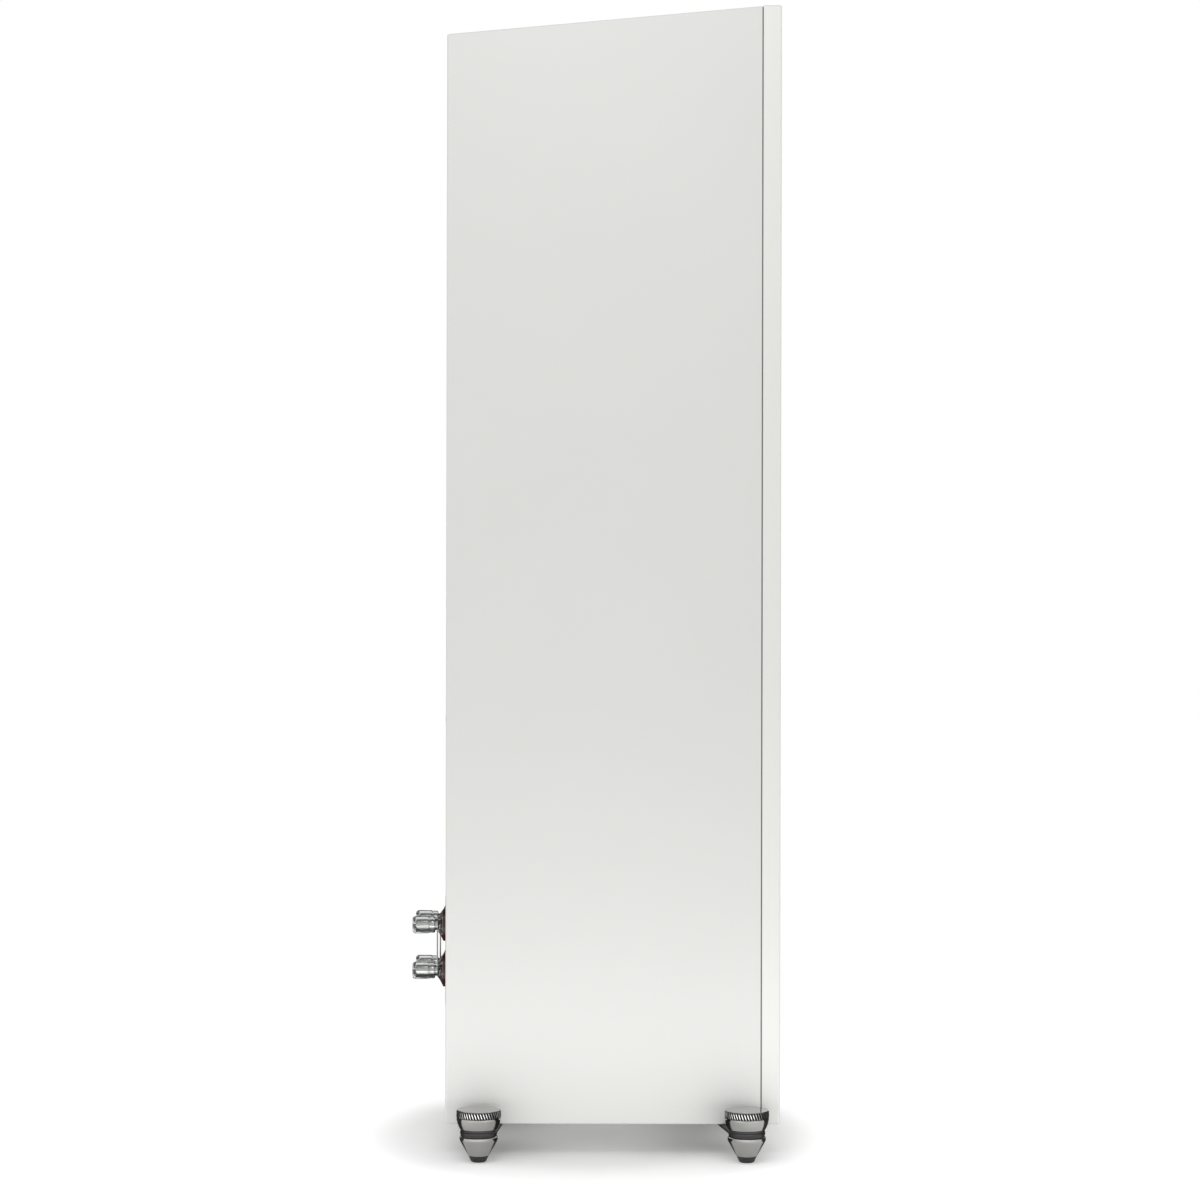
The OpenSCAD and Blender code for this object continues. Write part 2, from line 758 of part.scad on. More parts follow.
knob_low = lock_z + lock_washer_t + face_gap;
knob_top = 51;

module lock_knob(sx, i) {
    color("slategray") at_foot(sx, i) rotate_extrude() polygon([
        [stud_r + fit, knob_low], [17.6, knob_low], [18.6, knob_low + 0.6],
        [20.4, 37.4], [21.4, 41], [21.8, 43.6], [21.5, 47.5], [21.1, 49.8], [20.4, knob_top],
        [0, knob_top], [0, 48.8], [stud_r + fit, 48.8]
    ]);
}

// ----------------------------------------------------------------- nodes

side_panel(-cab_w / 2);  // left_side_panel
side_panel(cab_w / 2 - board);  // right_side_panel
top_panel();
bottom_panel();
back_panel();
front_baffle();
baffle_gasket();
internal_shelves();
damping_foam();
bass_port();
tweeter_waveguide();
tweeter_dome();
tweeter_magnet();
driver_baskets();
driver_magnets();
driver_surrounds();
driver_spiders();
driver_cone(midrange_z);  // midrange_cone
driver_coil(midrange_z);  // midrange_coil
driver_cone(woofer_upper_z);  // woofer_upper_cone
driver_coil(woofer_upper_z);  // woofer_upper_coil
driver_cone(woofer_lower_z);  // woofer_lower_cone
driver_coil(woofer_lower_z);  // woofer_lower_coil
crossover_board();
crossover_inductors();
crossover_capacitors();
crossover_resistors();
internal_wiring();
panel_screws();
terminal_plate();
polarity_rings();
post_cones();
binding_posts();
jumper_links();
post_washer(-1, 1);  // post_washer_upper_left
post_washer(1, 1);  // post_washer_upper_right
post_washer(-1, 0);  // post_washer_lower_left
post_washer(1, 0);  // post_washer_lower_right
post_knob(-1, 1);  // post_knob_upper_left
post_knob(1, 1);  // post_knob_upper_right
post_knob(-1, 0);  // post_knob_lower_left
post_knob(1, 0);  // post_knob_lower_right
outriggers();
outrigger_bolts();
foot_tip(-1, 0);  // foot_tip_front_left
foot_tip(1, 0);  // foot_tip_front_right
foot_tip(-1, 1);  // foot_tip_rear_left
foot_tip(1, 1);  // foot_tip_rear_right
foot_cone(-1, 0);  // foot_cone_front_left
foot_cone(1, 0);  // foot_cone_front_right
foot_cone(-1, 1);  // foot_cone_rear_left
foot_cone(1, 1);  // foot_cone_rear_right
lock_washer(-1, 0);  // lock_washer_front_left
lock_washer(1, 0);  // lock_washer_front_right
lock_washer(-1, 1);  // lock_washer_rear_left
lock_washer(1, 1);  // lock_washer_rear_right
lock_knob(-1, 0);  // lock_knob_front_left
lock_knob(1, 0);  // lock_knob_front_right
lock_knob(-1, 1);  // lock_knob_rear_left
lock_knob(1, 1);  // lock_knob_rear_right
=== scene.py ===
"""White floorstanding loudspeaker in a bright studio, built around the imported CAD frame.

Lengths inside the builders are millimetres in the part's own frame; make() turns them into metres.
"""

import math

import bmesh
import bpy
from mathutils import Matrix, Vector
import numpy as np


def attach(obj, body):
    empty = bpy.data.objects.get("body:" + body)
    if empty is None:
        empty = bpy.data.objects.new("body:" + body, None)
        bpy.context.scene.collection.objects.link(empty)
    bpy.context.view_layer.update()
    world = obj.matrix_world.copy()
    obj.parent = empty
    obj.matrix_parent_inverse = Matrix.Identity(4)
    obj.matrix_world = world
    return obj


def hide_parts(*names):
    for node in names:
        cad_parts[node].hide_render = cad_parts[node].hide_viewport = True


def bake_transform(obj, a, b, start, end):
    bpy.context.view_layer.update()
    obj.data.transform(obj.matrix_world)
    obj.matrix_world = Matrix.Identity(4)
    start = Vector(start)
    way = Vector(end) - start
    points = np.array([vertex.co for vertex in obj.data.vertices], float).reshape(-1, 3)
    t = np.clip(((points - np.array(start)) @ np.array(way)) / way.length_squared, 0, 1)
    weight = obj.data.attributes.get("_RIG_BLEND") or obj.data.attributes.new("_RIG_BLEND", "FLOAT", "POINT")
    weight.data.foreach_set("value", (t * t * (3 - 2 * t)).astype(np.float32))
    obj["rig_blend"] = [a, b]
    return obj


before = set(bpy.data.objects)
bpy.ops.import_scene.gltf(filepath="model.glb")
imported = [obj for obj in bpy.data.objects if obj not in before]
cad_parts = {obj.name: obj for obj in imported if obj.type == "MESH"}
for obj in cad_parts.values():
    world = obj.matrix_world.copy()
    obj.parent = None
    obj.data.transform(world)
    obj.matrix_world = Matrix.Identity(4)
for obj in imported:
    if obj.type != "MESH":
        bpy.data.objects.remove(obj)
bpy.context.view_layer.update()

# ---------------------------------------------------------------- sizes, as in the CAD source

CAB_W = 220.0
BOARD = 18.0
FRONT_Y = -183.0
REAR_Y = 146.0
CARCASS_Y = FRONT_Y + BOARD + 1.0
BOTTOM_Z = 30.0
BAFFLE_TOP = BOTTOM_Z + 1100.0
CARCASS_FRONT_Z = BAFFLE_TOP - 1.0
SLOPE = math.tan(math.radians(5.2))
CARCASS_REAR_Z = CARCASS_FRONT_Z - (REAR_Y - CARCASS_Y) * SLOPE
INNER_W = CAB_W - 2 * BOARD
TOP_T = BOARD / math.cos(math.radians(5.2))

TWEETER_Z = 1040.0
DRIVERS = (("midrange", 894.0), ("woofer_upper", 712.0), ("woofer_lower", 530.0))
PORT_Z = 400.0
POST_X = 29.0
POST_Z = {"upper": 217.0, "lower": 171.0}
POST_MID_Z = 194.0
FOOT_X = 147.0
FOOT_Y = {"front": -148.5, "rear": 111.5}
SIDES = {"left": -1, "right": 1}
LOOM_X, LOOM_Y = 72, 106
PLATE_SCREWS = [(x, z) for x in (-46, 46) for z in (-50, 50)]
CROSSOVER_SCREWS = [(x, y) for x in (-71, 65) for y in (-73, 103)]


def on_front(z, x=0.0):
    """Local +Z points out of the front face."""
    return Matrix.Translation((x, FRONT_Y, z)) @ Matrix.Rotation(math.radians(90), 4, "X")


def on_back(x, z):
    """Local +Z points out of the back face."""
    return Matrix.Translation((x, REAR_Y, z)) @ Matrix.Rotation(math.radians(-90), 4, "X")


def at(x, y, z):
    return Matrix.Translation((x, y, z))


# ---------------------------------------------------------------- mesh builders


def rounded(points, steps=4):
    """A closed outline whose corners (a, b, radius) are turned into arcs."""
    out = []
    count = len(points)
    for i, point in enumerate(points):
        here = Vector(point[:2])
        radius = point[2] if len(point) > 2 else 0.0
        before = Vector(points[i - 1][:2]) - here
        after = Vector(points[(i + 1) % count][:2]) - here
        if radius <= 0 or before.length < 1e-9 or after.length < 1e-9:
            out.append(tuple(here))
            continue
        angle = before.angle(after)
        if not math.radians(2) < angle < math.radians(178):
            out.append(tuple(here))
            continue
        reach = min(radius / math.tan(angle / 2), 0.48 * before.length, 0.48 * after.length)
        radius = reach * math.tan(angle / 2)
        bisector = (before.normalized() + after.normalized()).normalized()
        centre = here + bisector * (radius / math.sin(angle / 2))
        first = here + before.normalized() * reach - centre
        last = here + after.normalized() * reach - centre
        turn = math.atan2(first.x * last.y - first.y * last.x, first.dot(last))
        for k in range(steps + 1):
            a = turn * k / steps
            out.append((
                centre.x + first.x * math.cos(a) - first.y * math.sin(a),
                centre.y + first.x * math.sin(a) + first.y * math.cos(a),
            ))
    return out


def arc(centre_a, centre_b, radius, start, end, steps):
    """Points on an arc, with angles in degrees."""
    found = []
    for k in range(steps + 1):
        a = math.radians(start + (end - start) * k / steps)
        found.append((centre_a + radius * math.cos(a), centre_b + radius * math.sin(a)))
    return found


def lathe(outline, segments=96, shape=None):
    """A closed (r, z) outline turned about Z. shape(r, z, angle, row) may return another (r, z, angle)."""
    verts, faces = [], []
    rows = len(outline)
    for j in range(segments):
        angle = 2 * math.pi * j / segments
        for i, (r, z) in enumerate(outline):
            rr, zz, aa = shape(r, z, angle, i) if shape else (r, z, angle)
            verts.append((rr * math.cos(aa), rr * math.sin(aa), zz))
    for j in range(segments):
        k = (j + 1) % segments
        for i in range(rows):
            n = (i + 1) % rows
            faces.append((j * rows + i, k * rows + i, k * rows + n, j * rows + n))
    return verts, faces


def bore(radius, low, high, segments=32):
    """A plain round cutter along Z."""
    return lathe([(0, low), (radius, low), (radius, high), (0, high)], segments)


def inset(outline, distances):
    """The outline with each edge i, from point i to i + 1, moved inwards by distances[i]."""
    count = len(outline)
    area = sum(
        outline[i][0] * outline[(i + 1) % count][1] - outline[(i + 1) % count][0] * outline[i][1]
        for i in range(count)
    )
    sign = 1 if area > 0 else -1
    lines = []
    for i in range(count):
        a, b = Vector(outline[i]), Vector(outline[(i + 1) % count])
        d = (b - a).normalized()
        normal = Vector((-d.y, d.x)) * sign
        lines.append((a + normal * distances[i], d))
    out = []
    for i in range(count):
        (p, d), (q, e) = lines[i - 1], lines[i]
        cross = d.x * e.y - d.y * e.x
        if abs(cross) < 1e-7:
            out.append(tuple(q))
        else:
            t = ((q.x - p.x) * e.y - (q.y - p.y) * e.x) / cross
            out.append(tuple(p + d * t))
    return out


def slab(outline, low, high, low_radius=0.0, high_radius=0.0, weights=None, steps=4):
    """An outline extruded along Z from low to high, with its two rims rounded. weights scale the rounding per edge."""
    weights = weights or [1.0] * len(outline)
    rings = []
    if low_radius > 0:
        for k in range(steps, -1, -1):
            a = math.radians(90 * k / steps)
            amount = low_radius * (1 - math.cos(a))
            rings.append((inset(outline, [w * amount for w in weights]), low + low_radius * (1 - math.sin(a))))
    else:
        rings.append((outline, low))
    if high_radius > 0:
        for k in range(steps + 1):
            a = math.radians(90 * k / steps)
            amount = high_radius * (1 - math.cos(a))
            rings.append((inset(outline, [w * amount for w in weights]), high - high_radius * (1 - math.sin(a))))
    else:
        rings.append((outline, high))
    count = len(outline)
    verts = [(x, y, z) for ring, z in rings for x, y in ring]
    faces = [tuple(reversed(range(count)))]
    for r in range(len(rings) - 1):
        for i in range(count):
            k = (i + 1) % count
            faces.append((r * count + i, r * count + k, (r + 1) * count + k, (r + 1) * count + i))
    faces.append(tuple(range((len(rings) - 1) * count, len(rings) * count)))
    return verts, faces


def box(x0, x1, y0, y1, z0, z1, radius=0.0, corner=0.0):
    """A box with rounded rims, and with corners rounded in plan by corner."""
    outline = rounded([(x0, y0, corner), (x1, y0, corner), (x1, y1, corner), (x0, y1, corner)], 5)
    return slab(outline, z0, z1, radius, radius)


def tube(points, radius, sides=8):
    """A round tube along a list of points, closed at both ends."""
    path = [Vector(p) for p in points]
    verts, faces = [], []
    normal = None
    for i, p in enumerate(path):
        ahead = path[min(i + 1, len(path) - 1)] - path[max(i - 1, 0)]
        ahead.normalize()
        if normal is None:
            side = Vector((0, 0, 1)) if abs(ahead.z) < 0.9 else Vector((1, 0, 0))
            normal = ahead.cross(side).normalized()
        else:
            normal = (normal - ahead * normal.dot(ahead)).normalized()
        other = ahead.cross(normal)
        for k in range(sides):
            a = 2 * math.pi * k / sides
            verts.append(tuple(p + normal * math.cos(a) * radius + other * math.sin(a) * radius))
    for i in range(len(path) - 1):
        for k in range(sides):
            n = (k + 1) % sides
            faces.append((i * sides + k, i * sides + n, (i + 1) * sides + n, (i + 1) * sides + k))
    faces.append(tuple(reversed(range(sides))))
    faces.append(tuple(range((len(path) - 1) * sides, len(path) * sides)))
    return verts, faces


def threaded(radius, depth, pitch, z0, z1, segments=32, lead_in=0.6):
    """A rod with a helical thread cut into it, closed at both ends."""
    per_turn = 8
    rows = int((z1 - z0) / pitch * per_turn)
    outline = [(0.0, z0)]
    outline += [(radius, z0 + (z1 - z0) * i / rows) for i in range(rows + 1)]
    outline += [(0.0, z1)]

    def cut(r, z, angle, row):
        if r == 0:
            return 0.0, z, angle
        phase = (z / pitch - angle / (2 * math.pi)) % 1.0
        crest = min(1.0, max(0.0, 2.4 * abs(phase - 0.5) - 0.1))
        end = min(1.0, (z - z0) / lead_in, (z1 - z) / lead_in)
        return r - depth * (1 - crest) - depth * (1 - end), z, angle

    return lathe(outline, segments, cut)


def moved(part, matrix):
    verts, faces = part
    return [tuple(matrix @ Vector(v)) for v in verts], faces


def together(*parts):
    verts, faces = [], []
    for v, f in parts:
        base = len(verts)
        verts += v
        faces += [tuple(i + base for i in face) for face in f]
    return verts, faces


def at_each(part, places):
    return together(*[moved(part, place) for place in places])


def around(part, radius, count, start=0.0):
    """Copies of a part on a circle about Z."""
    copies = []
    for i in range(count):
        a = math.radians(start + 360 * i / count)
        copies.append(moved(part, Matrix.Rotation(a, 4, "Z") @ Matrix.Translation((radius, 0, 0))))
    return together(*copies)


def as_mesh(part, name="part"):
    """A clean mesh in metres, with its faces turned outwards."""
    verts, faces = part
    mesh = bpy.data.meshes.new(name)
    mesh.from_pydata([tuple(0.001 * c for c in v) for v in verts], [], faces)
    bm = bmesh.new()
    bm.from_mesh(mesh)
    bmesh.ops.remove_doubles(bm, verts=bm.verts, dist=1e-7)
    bmesh.ops.dissolve_degenerate(bm, edges=bm.edges, dist=1e-7)
    bmesh.ops.recalc_face_normals(bm, faces=bm.faces)
    bm.to_mesh(mesh)
    bm.free()
    return mesh


def cut_away(mesh, *cutters):
    """The mesh less the cutters."""
    target = bpy.data.objects.new("target", mesh)
    bpy.context.scene.collection.objects.link(target)
    tools = []
    for cutter in cutters:
        tool = bpy.data.objects.new("tool", as_mesh(cutter, "tool"))
        bpy.context.scene.collection.objects.link(tool)
        modifier = target.modifiers.new("cut", "BOOLEAN")
        modifier.operation = "DIFFERENCE"
        modifier.solver = "EXACT"
        modifier.object = tool
        tools.append(tool)
    bpy.context.view_layer.update()
    result = bpy.data.meshes.new_from_object(target.evaluated_get(bpy.context.evaluated_depsgraph_get()))
    for o in [target, *tools]:
        bpy.data.objects.remove(o)
    return result


def shade(mesh, sharp):
    bm = bmesh.new()
    bm.from_mesh(mesh)
    limit = math.radians(sharp)
    for face in bm.faces:
        face.smooth = True
    for edge in bm.edges:
        edge.smooth = len(edge.link_faces) == 2 and edge.calc_face_angle(0.0) < limit
    bm.to_mesh(mesh)
    bm.free()


def make(name, part, material, body="cabinet", nodes=(), sharp=32.0, others=None):
    """A piece of the object: part is a mesh or (verts, faces); it rides on body and may stand for CAD nodes.

    others is (more materials, a function that gives the index of a face's material).
    """
    mesh = part if isinstance(part, bpy.types.Mesh) else as_mesh(part, name)
    mesh.name = name
    shade(mesh, sharp)
    mesh.materials.clear()
    mesh.materials.append(material)
    if others:
        for extra in others[0]:
            mesh.materials.append(extra)
        for face in mesh.polygons:
            face.material_index = others[1](face)
    obj = bpy.data.objects.new(name, mesh)
    bpy.context.scene.collection.objects.link(obj)
    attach(obj, body)
    if nodes:
        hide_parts(*([nodes] if isinstance(nodes, str) else nodes))
    return obj


# ---------------------------------------------------------------- materials


def material(name, colour, roughness=0.5, metallic=0.0, spread=0.0, colour_2=None, scale=30.0,
             bump=0.0, bump_scale=400.0, transmission=0.0, ior=1.5, sheen=0.0):
    """A surface with noise in its colour, roughness and relief. spread is the swing of its roughness."""
    m = bpy.data.materials.new(name)
    m.use_nodes = True
    nodes, links = m.node_tree.nodes, m.node_tree.links
    shader = nodes["Principled BSDF"]
    shader.inputs["Base Color"].default_value = (*colour, 1)
    shader.inputs["Roughness"].default_value = roughness
    shader.inputs["Metallic"].default_value = metallic
    shader.inputs["Transmission Weight"].default_value = transmission
    shader.inputs["IOR"].default_value = ior
    shader.inputs["Sheen Weight"].default_value = sheen
    place = nodes.new("ShaderNodeTexCoord")
    if colour_2 or spread:
        noise = nodes.new("ShaderNodeTexNoise")
        noise.inputs["Scale"].default_value = scale
        noise.inputs["Detail"].default_value = 3.0
        links.new(place.outputs["Object"], noise.inputs["Vector"])
        if colour_2:
            ramp = nodes.new("ShaderNodeValToRGB")
            ramp.color_ramp.elements[0].position = 0.35
            ramp.color_ramp.elements[0].color = (*colour, 1)
            ramp.color_ramp.elements[1].position = 0.65
            ramp.color_ramp.elements[1].color = (*colour_2, 1)
            links.new(noise.outputs["Fac"], ramp.inputs["Fac"])
            links.new(ramp.outputs["Color"], shader.inputs["Base Color"])
        if spread:
            rough = nodes.new("ShaderNodeMapRange")
            rough.inputs["From Min"].default_value = 0.3
            rough.inputs["From Max"].default_value = 0.7
            rough.inputs["To Min"].default_value = max(0.0, roughness - spread)
            rough.inputs["To Max"].default_value = min(1.0, roughness + spread)
            links.new(noise.outputs["Fac"], rough.inputs["Value"])
            links.new(rough.outputs["Result"], shader.inputs["Roughness"])
    if bump:
        grain = nodes.new("ShaderNodeTexNoise")
        grain.inputs["Scale"].default_value = bump_scale
        grain.inputs["Detail"].default_value = 2.0
        links.new(place.outputs["Object"], grain.inputs["Vector"])
        relief = nodes.new("ShaderNodeBump")
        relief.inputs["Strength"].default_value = 1.0
        relief.inputs["Distance"].default_value = bump
        links.new(grain.outputs["Fac"], relief.inputs["Height"])
        links.new(relief.outputs["Normal"], shader.inputs["Normal"])
    return m


LACQUER = material("side_lacquer", (0.725, 0.728, 0.706), 0.42, spread=0.03, colour_2=(0.733, 0.736, 0.714),
                   scale=6.0, bump=0.00002, bump_scale=260.0)
BAFFLE = material("baffle_lacquer", (0.775, 0.778, 0.75), 0.38, spread=0.03, colour_2=(0.783, 0.786, 0.758),
                  scale=6.0, bump=0.00002, bump_scale=260.0)
FIBREBOARD = material("fibreboard", (0.50, 0.35, 0.20), 0.85, colour_2=(0.42, 0.28, 0.15), scale=220.0,
                      bump=0.0002, bump_scale=900.0)
GASKET = material("gasket_rubber", (0.16, 0.16, 0.155), 0.8, spread=0.08, bump=0.0001)
FOAM = material("open_foam", (0.035, 0.035, 0.038), 0.95, colour_2=(0.06, 0.06, 0.064), scale=700.0,
                bump=0.0008, bump_scale=1300.0)
BLACK_PLASTIC = material("black_plastic", (0.018, 0.018, 0.019), 0.42, spread=0.06, bump=0.00005, bump_scale=1500.0)
SILK = material("coated_silk", (0.022, 0.022, 0.024), 0.55, colour_2=(0.032, 0.032, 0.035), scale=900.0,
                bump=0.00006, bump_scale=2400.0, sheen=0.3)
ZINC = material("zinc_plate", (0.55, 0.56, 0.58), 0.32, 1.0, spread=0.1, colour_2=(0.48, 0.49, 0.50), scale=90.0)
FERRITE = material("ferrite", (0.05, 0.05, 0.055), 0.6, spread=0.15, colour_2=(0.075, 0.075, 0.08), scale=120.0,
                   bump=0.0002, bump_scale=500.0)
CASTING = material("coated_casting", (0.02, 0.02, 0.021), 0.5, spread=0.08, bump=0.00012, bump_scale=900.0)
SURROUND = material("surround_rubber", (0.014, 0.014, 0.015), 0.62, spread=0.08, bump=0.00008, bump_scale=1200.0)
PHENOLIC = material("phenolic_cloth", (0.30, 0.13, 0.04), 0.85, colour_2=(0.38, 0.18, 0.06), scale=800.0,
                    bump=0.0003, bump_scale=1500.0)
CONE = material("anodised_cone", (0.62, 0.63, 0.64), 0.33, 1.0, spread=0.07, colour_2=(0.58, 0.59, 0.60),
                scale=40.0, bump=0.00004, bump_scale=700.0)
COPPER = material("enamelled_copper", (0.72, 0.30, 0.10), 0.3, 1.0, spread=0.06)
SOLDER_MASK = material("solder_mask", (0.015, 0.09, 0.035), 0.35, spread=0.05, colour_2=(0.018, 0.11, 0.04), scale=60.0)
FILM = material("film_wrap", (0.32, 0.03, 0.015), 0.25, spread=0.06)
CEMENT = material("cement", (0.62, 0.60, 0.54), 0.9, colour_2=(0.52, 0.50, 0.45), scale=300.0,
                  bump=0.0002, bump_scale=900.0)
LEAD_RED = material("lead_red", (0.30, 0.012, 0.01), 0.42, spread=0.05)
LEAD_BLACK = material("lead_black", (0.015, 0.015, 0.016), 0.42, spread=0.05)
BLACK_STEEL = material("black_steel", (0.012, 0.012, 0.013), 0.38, spread=0.08, bump=0.0001, bump_scale=1100.0)
RING_RED = material("ring_red", (0.055, 0.012, 0.012), 0.22, spread=0.05)
RING_BLACK = material("ring_black", (0.006, 0.006, 0.006), 0.22, spread=0.05)
DARK_NICKEL = material("dark_nickel", (0.36, 0.356, 0.345), 0.07, 1.0, spread=0.02)
# Painted highlight and painted shade for the lock knobs' knurl: a brighter copy of the nickel on the crests, black in
# the grooves
PAINTED_CREST_HIGHLIGHT = material("knurl_crest_painted_highlight", (0.50, 0.495, 0.485), 0.14, 1.0, spread=0.03)
PAINTED_GROOVE_SHADE = material("knurl_groove_painted_shade", (0.02, 0.02, 0.02), 0.45, 0.6, spread=0.05)
NICKEL = material("nickel", (0.52, 0.515, 0.50), 0.09, 1.0, spread=0.03)
GOLD = material("gold_plate", (0.78, 0.56, 0.26), 0.16, 1.0, spread=0.04)
ACRYLIC = material("clear_acrylic", (0.93, 0.95, 0.94), 0.02, transmission=1.0, ior=1.49)
TIP_RUBBER = material("tip_rubber", (0.013, 0.013, 0.013), 0.55, spread=0.08, bump=0.0001)

# ---------------------------------------------------------------- cabinet

EDGE = 1.8
CORNER = EDGE + 0.2

# Turns a slab drawn in (Y, Z) and extruded along its own Z into world X.
FROM_SIDE = Matrix(((0, 0, 1, 0), (1, 0, 0, 0), (0, 1, 0, 0), (0, 0, 0, 1)))

outline = rounded([
    (CARCASS_Y, BOTTOM_Z), (REAR_Y, BOTTOM_Z, CORNER), (REAR_Y, CARCASS_REAR_Z, CORNER), (CARCASS_Y, CARCASS_FRONT_Z),
], 5)
edge_weights = [1.0] * len(outline)
edge_weights[-1] = 0.35
for side, sign in SIDES.items():
    panel = slab(outline, INNER_W / 2, CAB_W / 2, 0.0, EDGE, edge_weights)
    if sign < 0:
        panel = moved(panel, Matrix.Scale(-1, 4, (0, 0, 1)))
    make(f"{side}_side", moved(panel, FROM_SIDE), LACQUER, nodes=f"{side}_side_panel")

top_outline = rounded([
    (CARCASS_Y, CARCASS_FRONT_Z - TOP_T), (REAR_Y, CARCASS_REAR_Z - TOP_T),
    (REAR_Y, CARCASS_REAR_Z, CORNER), (CARCASS_Y, CARCASS_FRONT_Z),
], 5)
make("top", moved(slab(top_outline, -INNER_W / 2, INNER_W / 2), FROM_SIDE), LACQUER,
     nodes="top_panel")

bottom_outline = rounded([
    (CARCASS_Y, BOTTOM_Z), (REAR_Y, BOTTOM_Z, CORNER), (REAR_Y, BOTTOM_Z + BOARD), (CARCASS_Y, BOTTOM_Z + BOARD),
], 5)
make("bottom", moved(slab(bottom_outline, -INNER_W / 2, INNER_W / 2), FROM_SIDE), LACQUER,
     nodes="bottom_panel")

back = as_mesh(box(-INNER_W / 2, INNER_W / 2, REAR_Y - BOARD, REAR_Y, BOTTOM_Z + BOARD, CARCASS_REAR_Z - TOP_T))
port_hole = moved(bore(46.3, -BOARD - 2, 2, 96), on_back(0, PORT_Z))
plate_hole = box(-39, 39, REAR_Y - BOARD - 2, REAR_Y + 2, POST_MID_Z - 41, POST_MID_Z + 41)
make("back", cut_away(back, port_hole, plate_hole), LACQUER, nodes="back_panel")


def driver_seat(cutout, rim, segments):
    """A stepped hole with a chamfered mouth, for a flange of radius rim."""
    return lathe(rounded([
        (0, -BOARD - 2), (cutout, -BOARD - 2), (cutout, -5.5), (rim, -5.5), (rim, -0.5), (rim + 1, 0.5), (rim + 1, 3),
        (0, 3),
    ], 3), segments)


def front_board():
    r = 2.4
    outline = rounded([(-CAB_W / 2, BOTTOM_Z, r), (CAB_W / 2, BOTTOM_Z, r), (CAB_W / 2, BAFFLE_TOP, r),
                       (-CAB_W / 2, BAFFLE_TOP, r)], 4)
    # The slab is drawn in X and Z; its rim towards the front is rounded more than the one at the back.
    turn = Matrix(((1, 0, 0, 0), (0, 0, -1, 0), (0, 1, 0, 0), (0, 0, 0, 1)))
    board = as_mesh(moved(slab(outline, -(FRONT_Y + BOARD), -FRONT_Y, 0.5, 2.2, None, 5), turn))
    cutters = [moved(driver_seat(79.5, 88.3, 160), on_front(z)) for _, z in DRIVERS]
    cutters.append(moved(driver_seat(42, 52.3, 128), on_front(TWEETER_Z)))
    return cut_away(board, *cutters)


make("baffle", front_board(), BAFFLE, nodes="front_baffle")


def gasket():
    y0, y1 = FRONT_Y + BOARD, FRONT_Y + BOARD + 1
    half, low, high, rim = CAB_W / 2 - 0.9, BOTTOM_Z + 0.9, CARCASS_FRONT_Z - 0.9, 13.6
    bars = [
        box(-half, half, y0, y1, low, low + rim, 0.15), box(-half, half, y0, y1, high - rim, high, 0.15),
        box(-half, -half + rim, y0, y1, low + rim, high - rim), box(half - rim, half, y0, y1, low + rim, high - rim),
    ]
    return together(*bars)


make("gasket", gasket(), GASKET, nodes="baffle_gasket")

# ---------------------------------------------------------------- screws


SCREW_HEAD = 2.4
SCREW_LENGTH = 15.0


def hexagon(radius):
    return [(radius * math.cos(math.radians(60 * k)), radius * math.sin(math.radians(60 * k))) for k in range(6)]


def hex_socket(radius, depth, top):
    """A hexagonal cutter that ends at top."""
    return slab(hexagon(radius), top - depth, top + 1)


def merged(meshes):
    bm = bmesh.new()
    for mesh in meshes:
        bm.from_mesh(mesh)
    out = bpy.data.meshes.new("merged")
    bm.to_mesh(out)
    bm.free()
    return out


def screw_mesh():
    """Screw with a hexagonal socket; its head's seat is at z = 0."""
    head = lathe(rounded([(0, 0), (4.0, 0, 0.2), (4.0, SCREW_HEAD, 0.9), (0, SCREW_HEAD)], 5), 40)
    head = cut_away(as_mesh(head), hex_socket(1.6, 1.4, SCREW_HEAD))
    return merged([head, as_mesh(threaded(2.0, 0.35, 1.4, SCREW_HEAD - SCREW_LENGTH, 0.2, 20))])


def countersunk():
    """A cutter for a screw in a driver's flange."""
    return lathe([(0, -7), (2.2, -7), (2.2, -3.4), (4.4, -3.2), (4.4, -1.0), (4.9, -0.4), (4.9, 1), (0, 1)], 32)


def counterbored(floor, top):
    """A cutter for a screw whose head sits at floor."""
    return lathe([(0, -1), (2.2, -1), (2.2, floor), (4.3, floor), (4.3, top), (0, top)], 32)


def copies(mesh, places):
    """One mesh holding a copy of mesh at each place, whose translations are in millimetres."""
    bm = bmesh.new()
    for place in places:
        matrix = place.copy()
        matrix.translation = matrix.translation * 0.001
        piece = mesh.copy()
        piece.transform(matrix)
        bm.from_mesh(piece)
        bpy.data.meshes.remove(piece)
    mesh = bpy.data.meshes.new("copies")
    bm.to_mesh(mesh)
    bm.free()
    return mesh


def ring_places(base, radius, count, start, z):
    found = []
    for i in range(count):
        a = math.radians(start + 360 * i / count)
        found.append(base @ Matrix.Rotation(a, 4, "Z") @ Matrix.Translation((radius, 0, z)))
    return found


PORT_SEAT = 0.9
seat = -0.5 - SCREW_HEAD - 0.3
places = []
for _, z in DRIVERS:
    places += ring_places(on_front(z), 83.5, 6, 30, seat)
places += ring_places(on_front(TWEETER_Z), 46.5, 4, 45, seat)
places += [on_back(x, POST_MID_Z + z) @ at(0, 0, 0.6) for x, z in PLATE_SCREWS]
places += ring_places(on_back(0, PORT_Z), 51.5, 3, 90, PORT_SEAT)
places += [at(x, y, BOTTOM_Z + BOARD + 6.6) for x, y in CROSSOVER_SCREWS]
make("screws", copies(screw_mesh(), places), BLACK_STEEL, nodes="panel_screws")

# ---------------------------------------------------------------- bass port


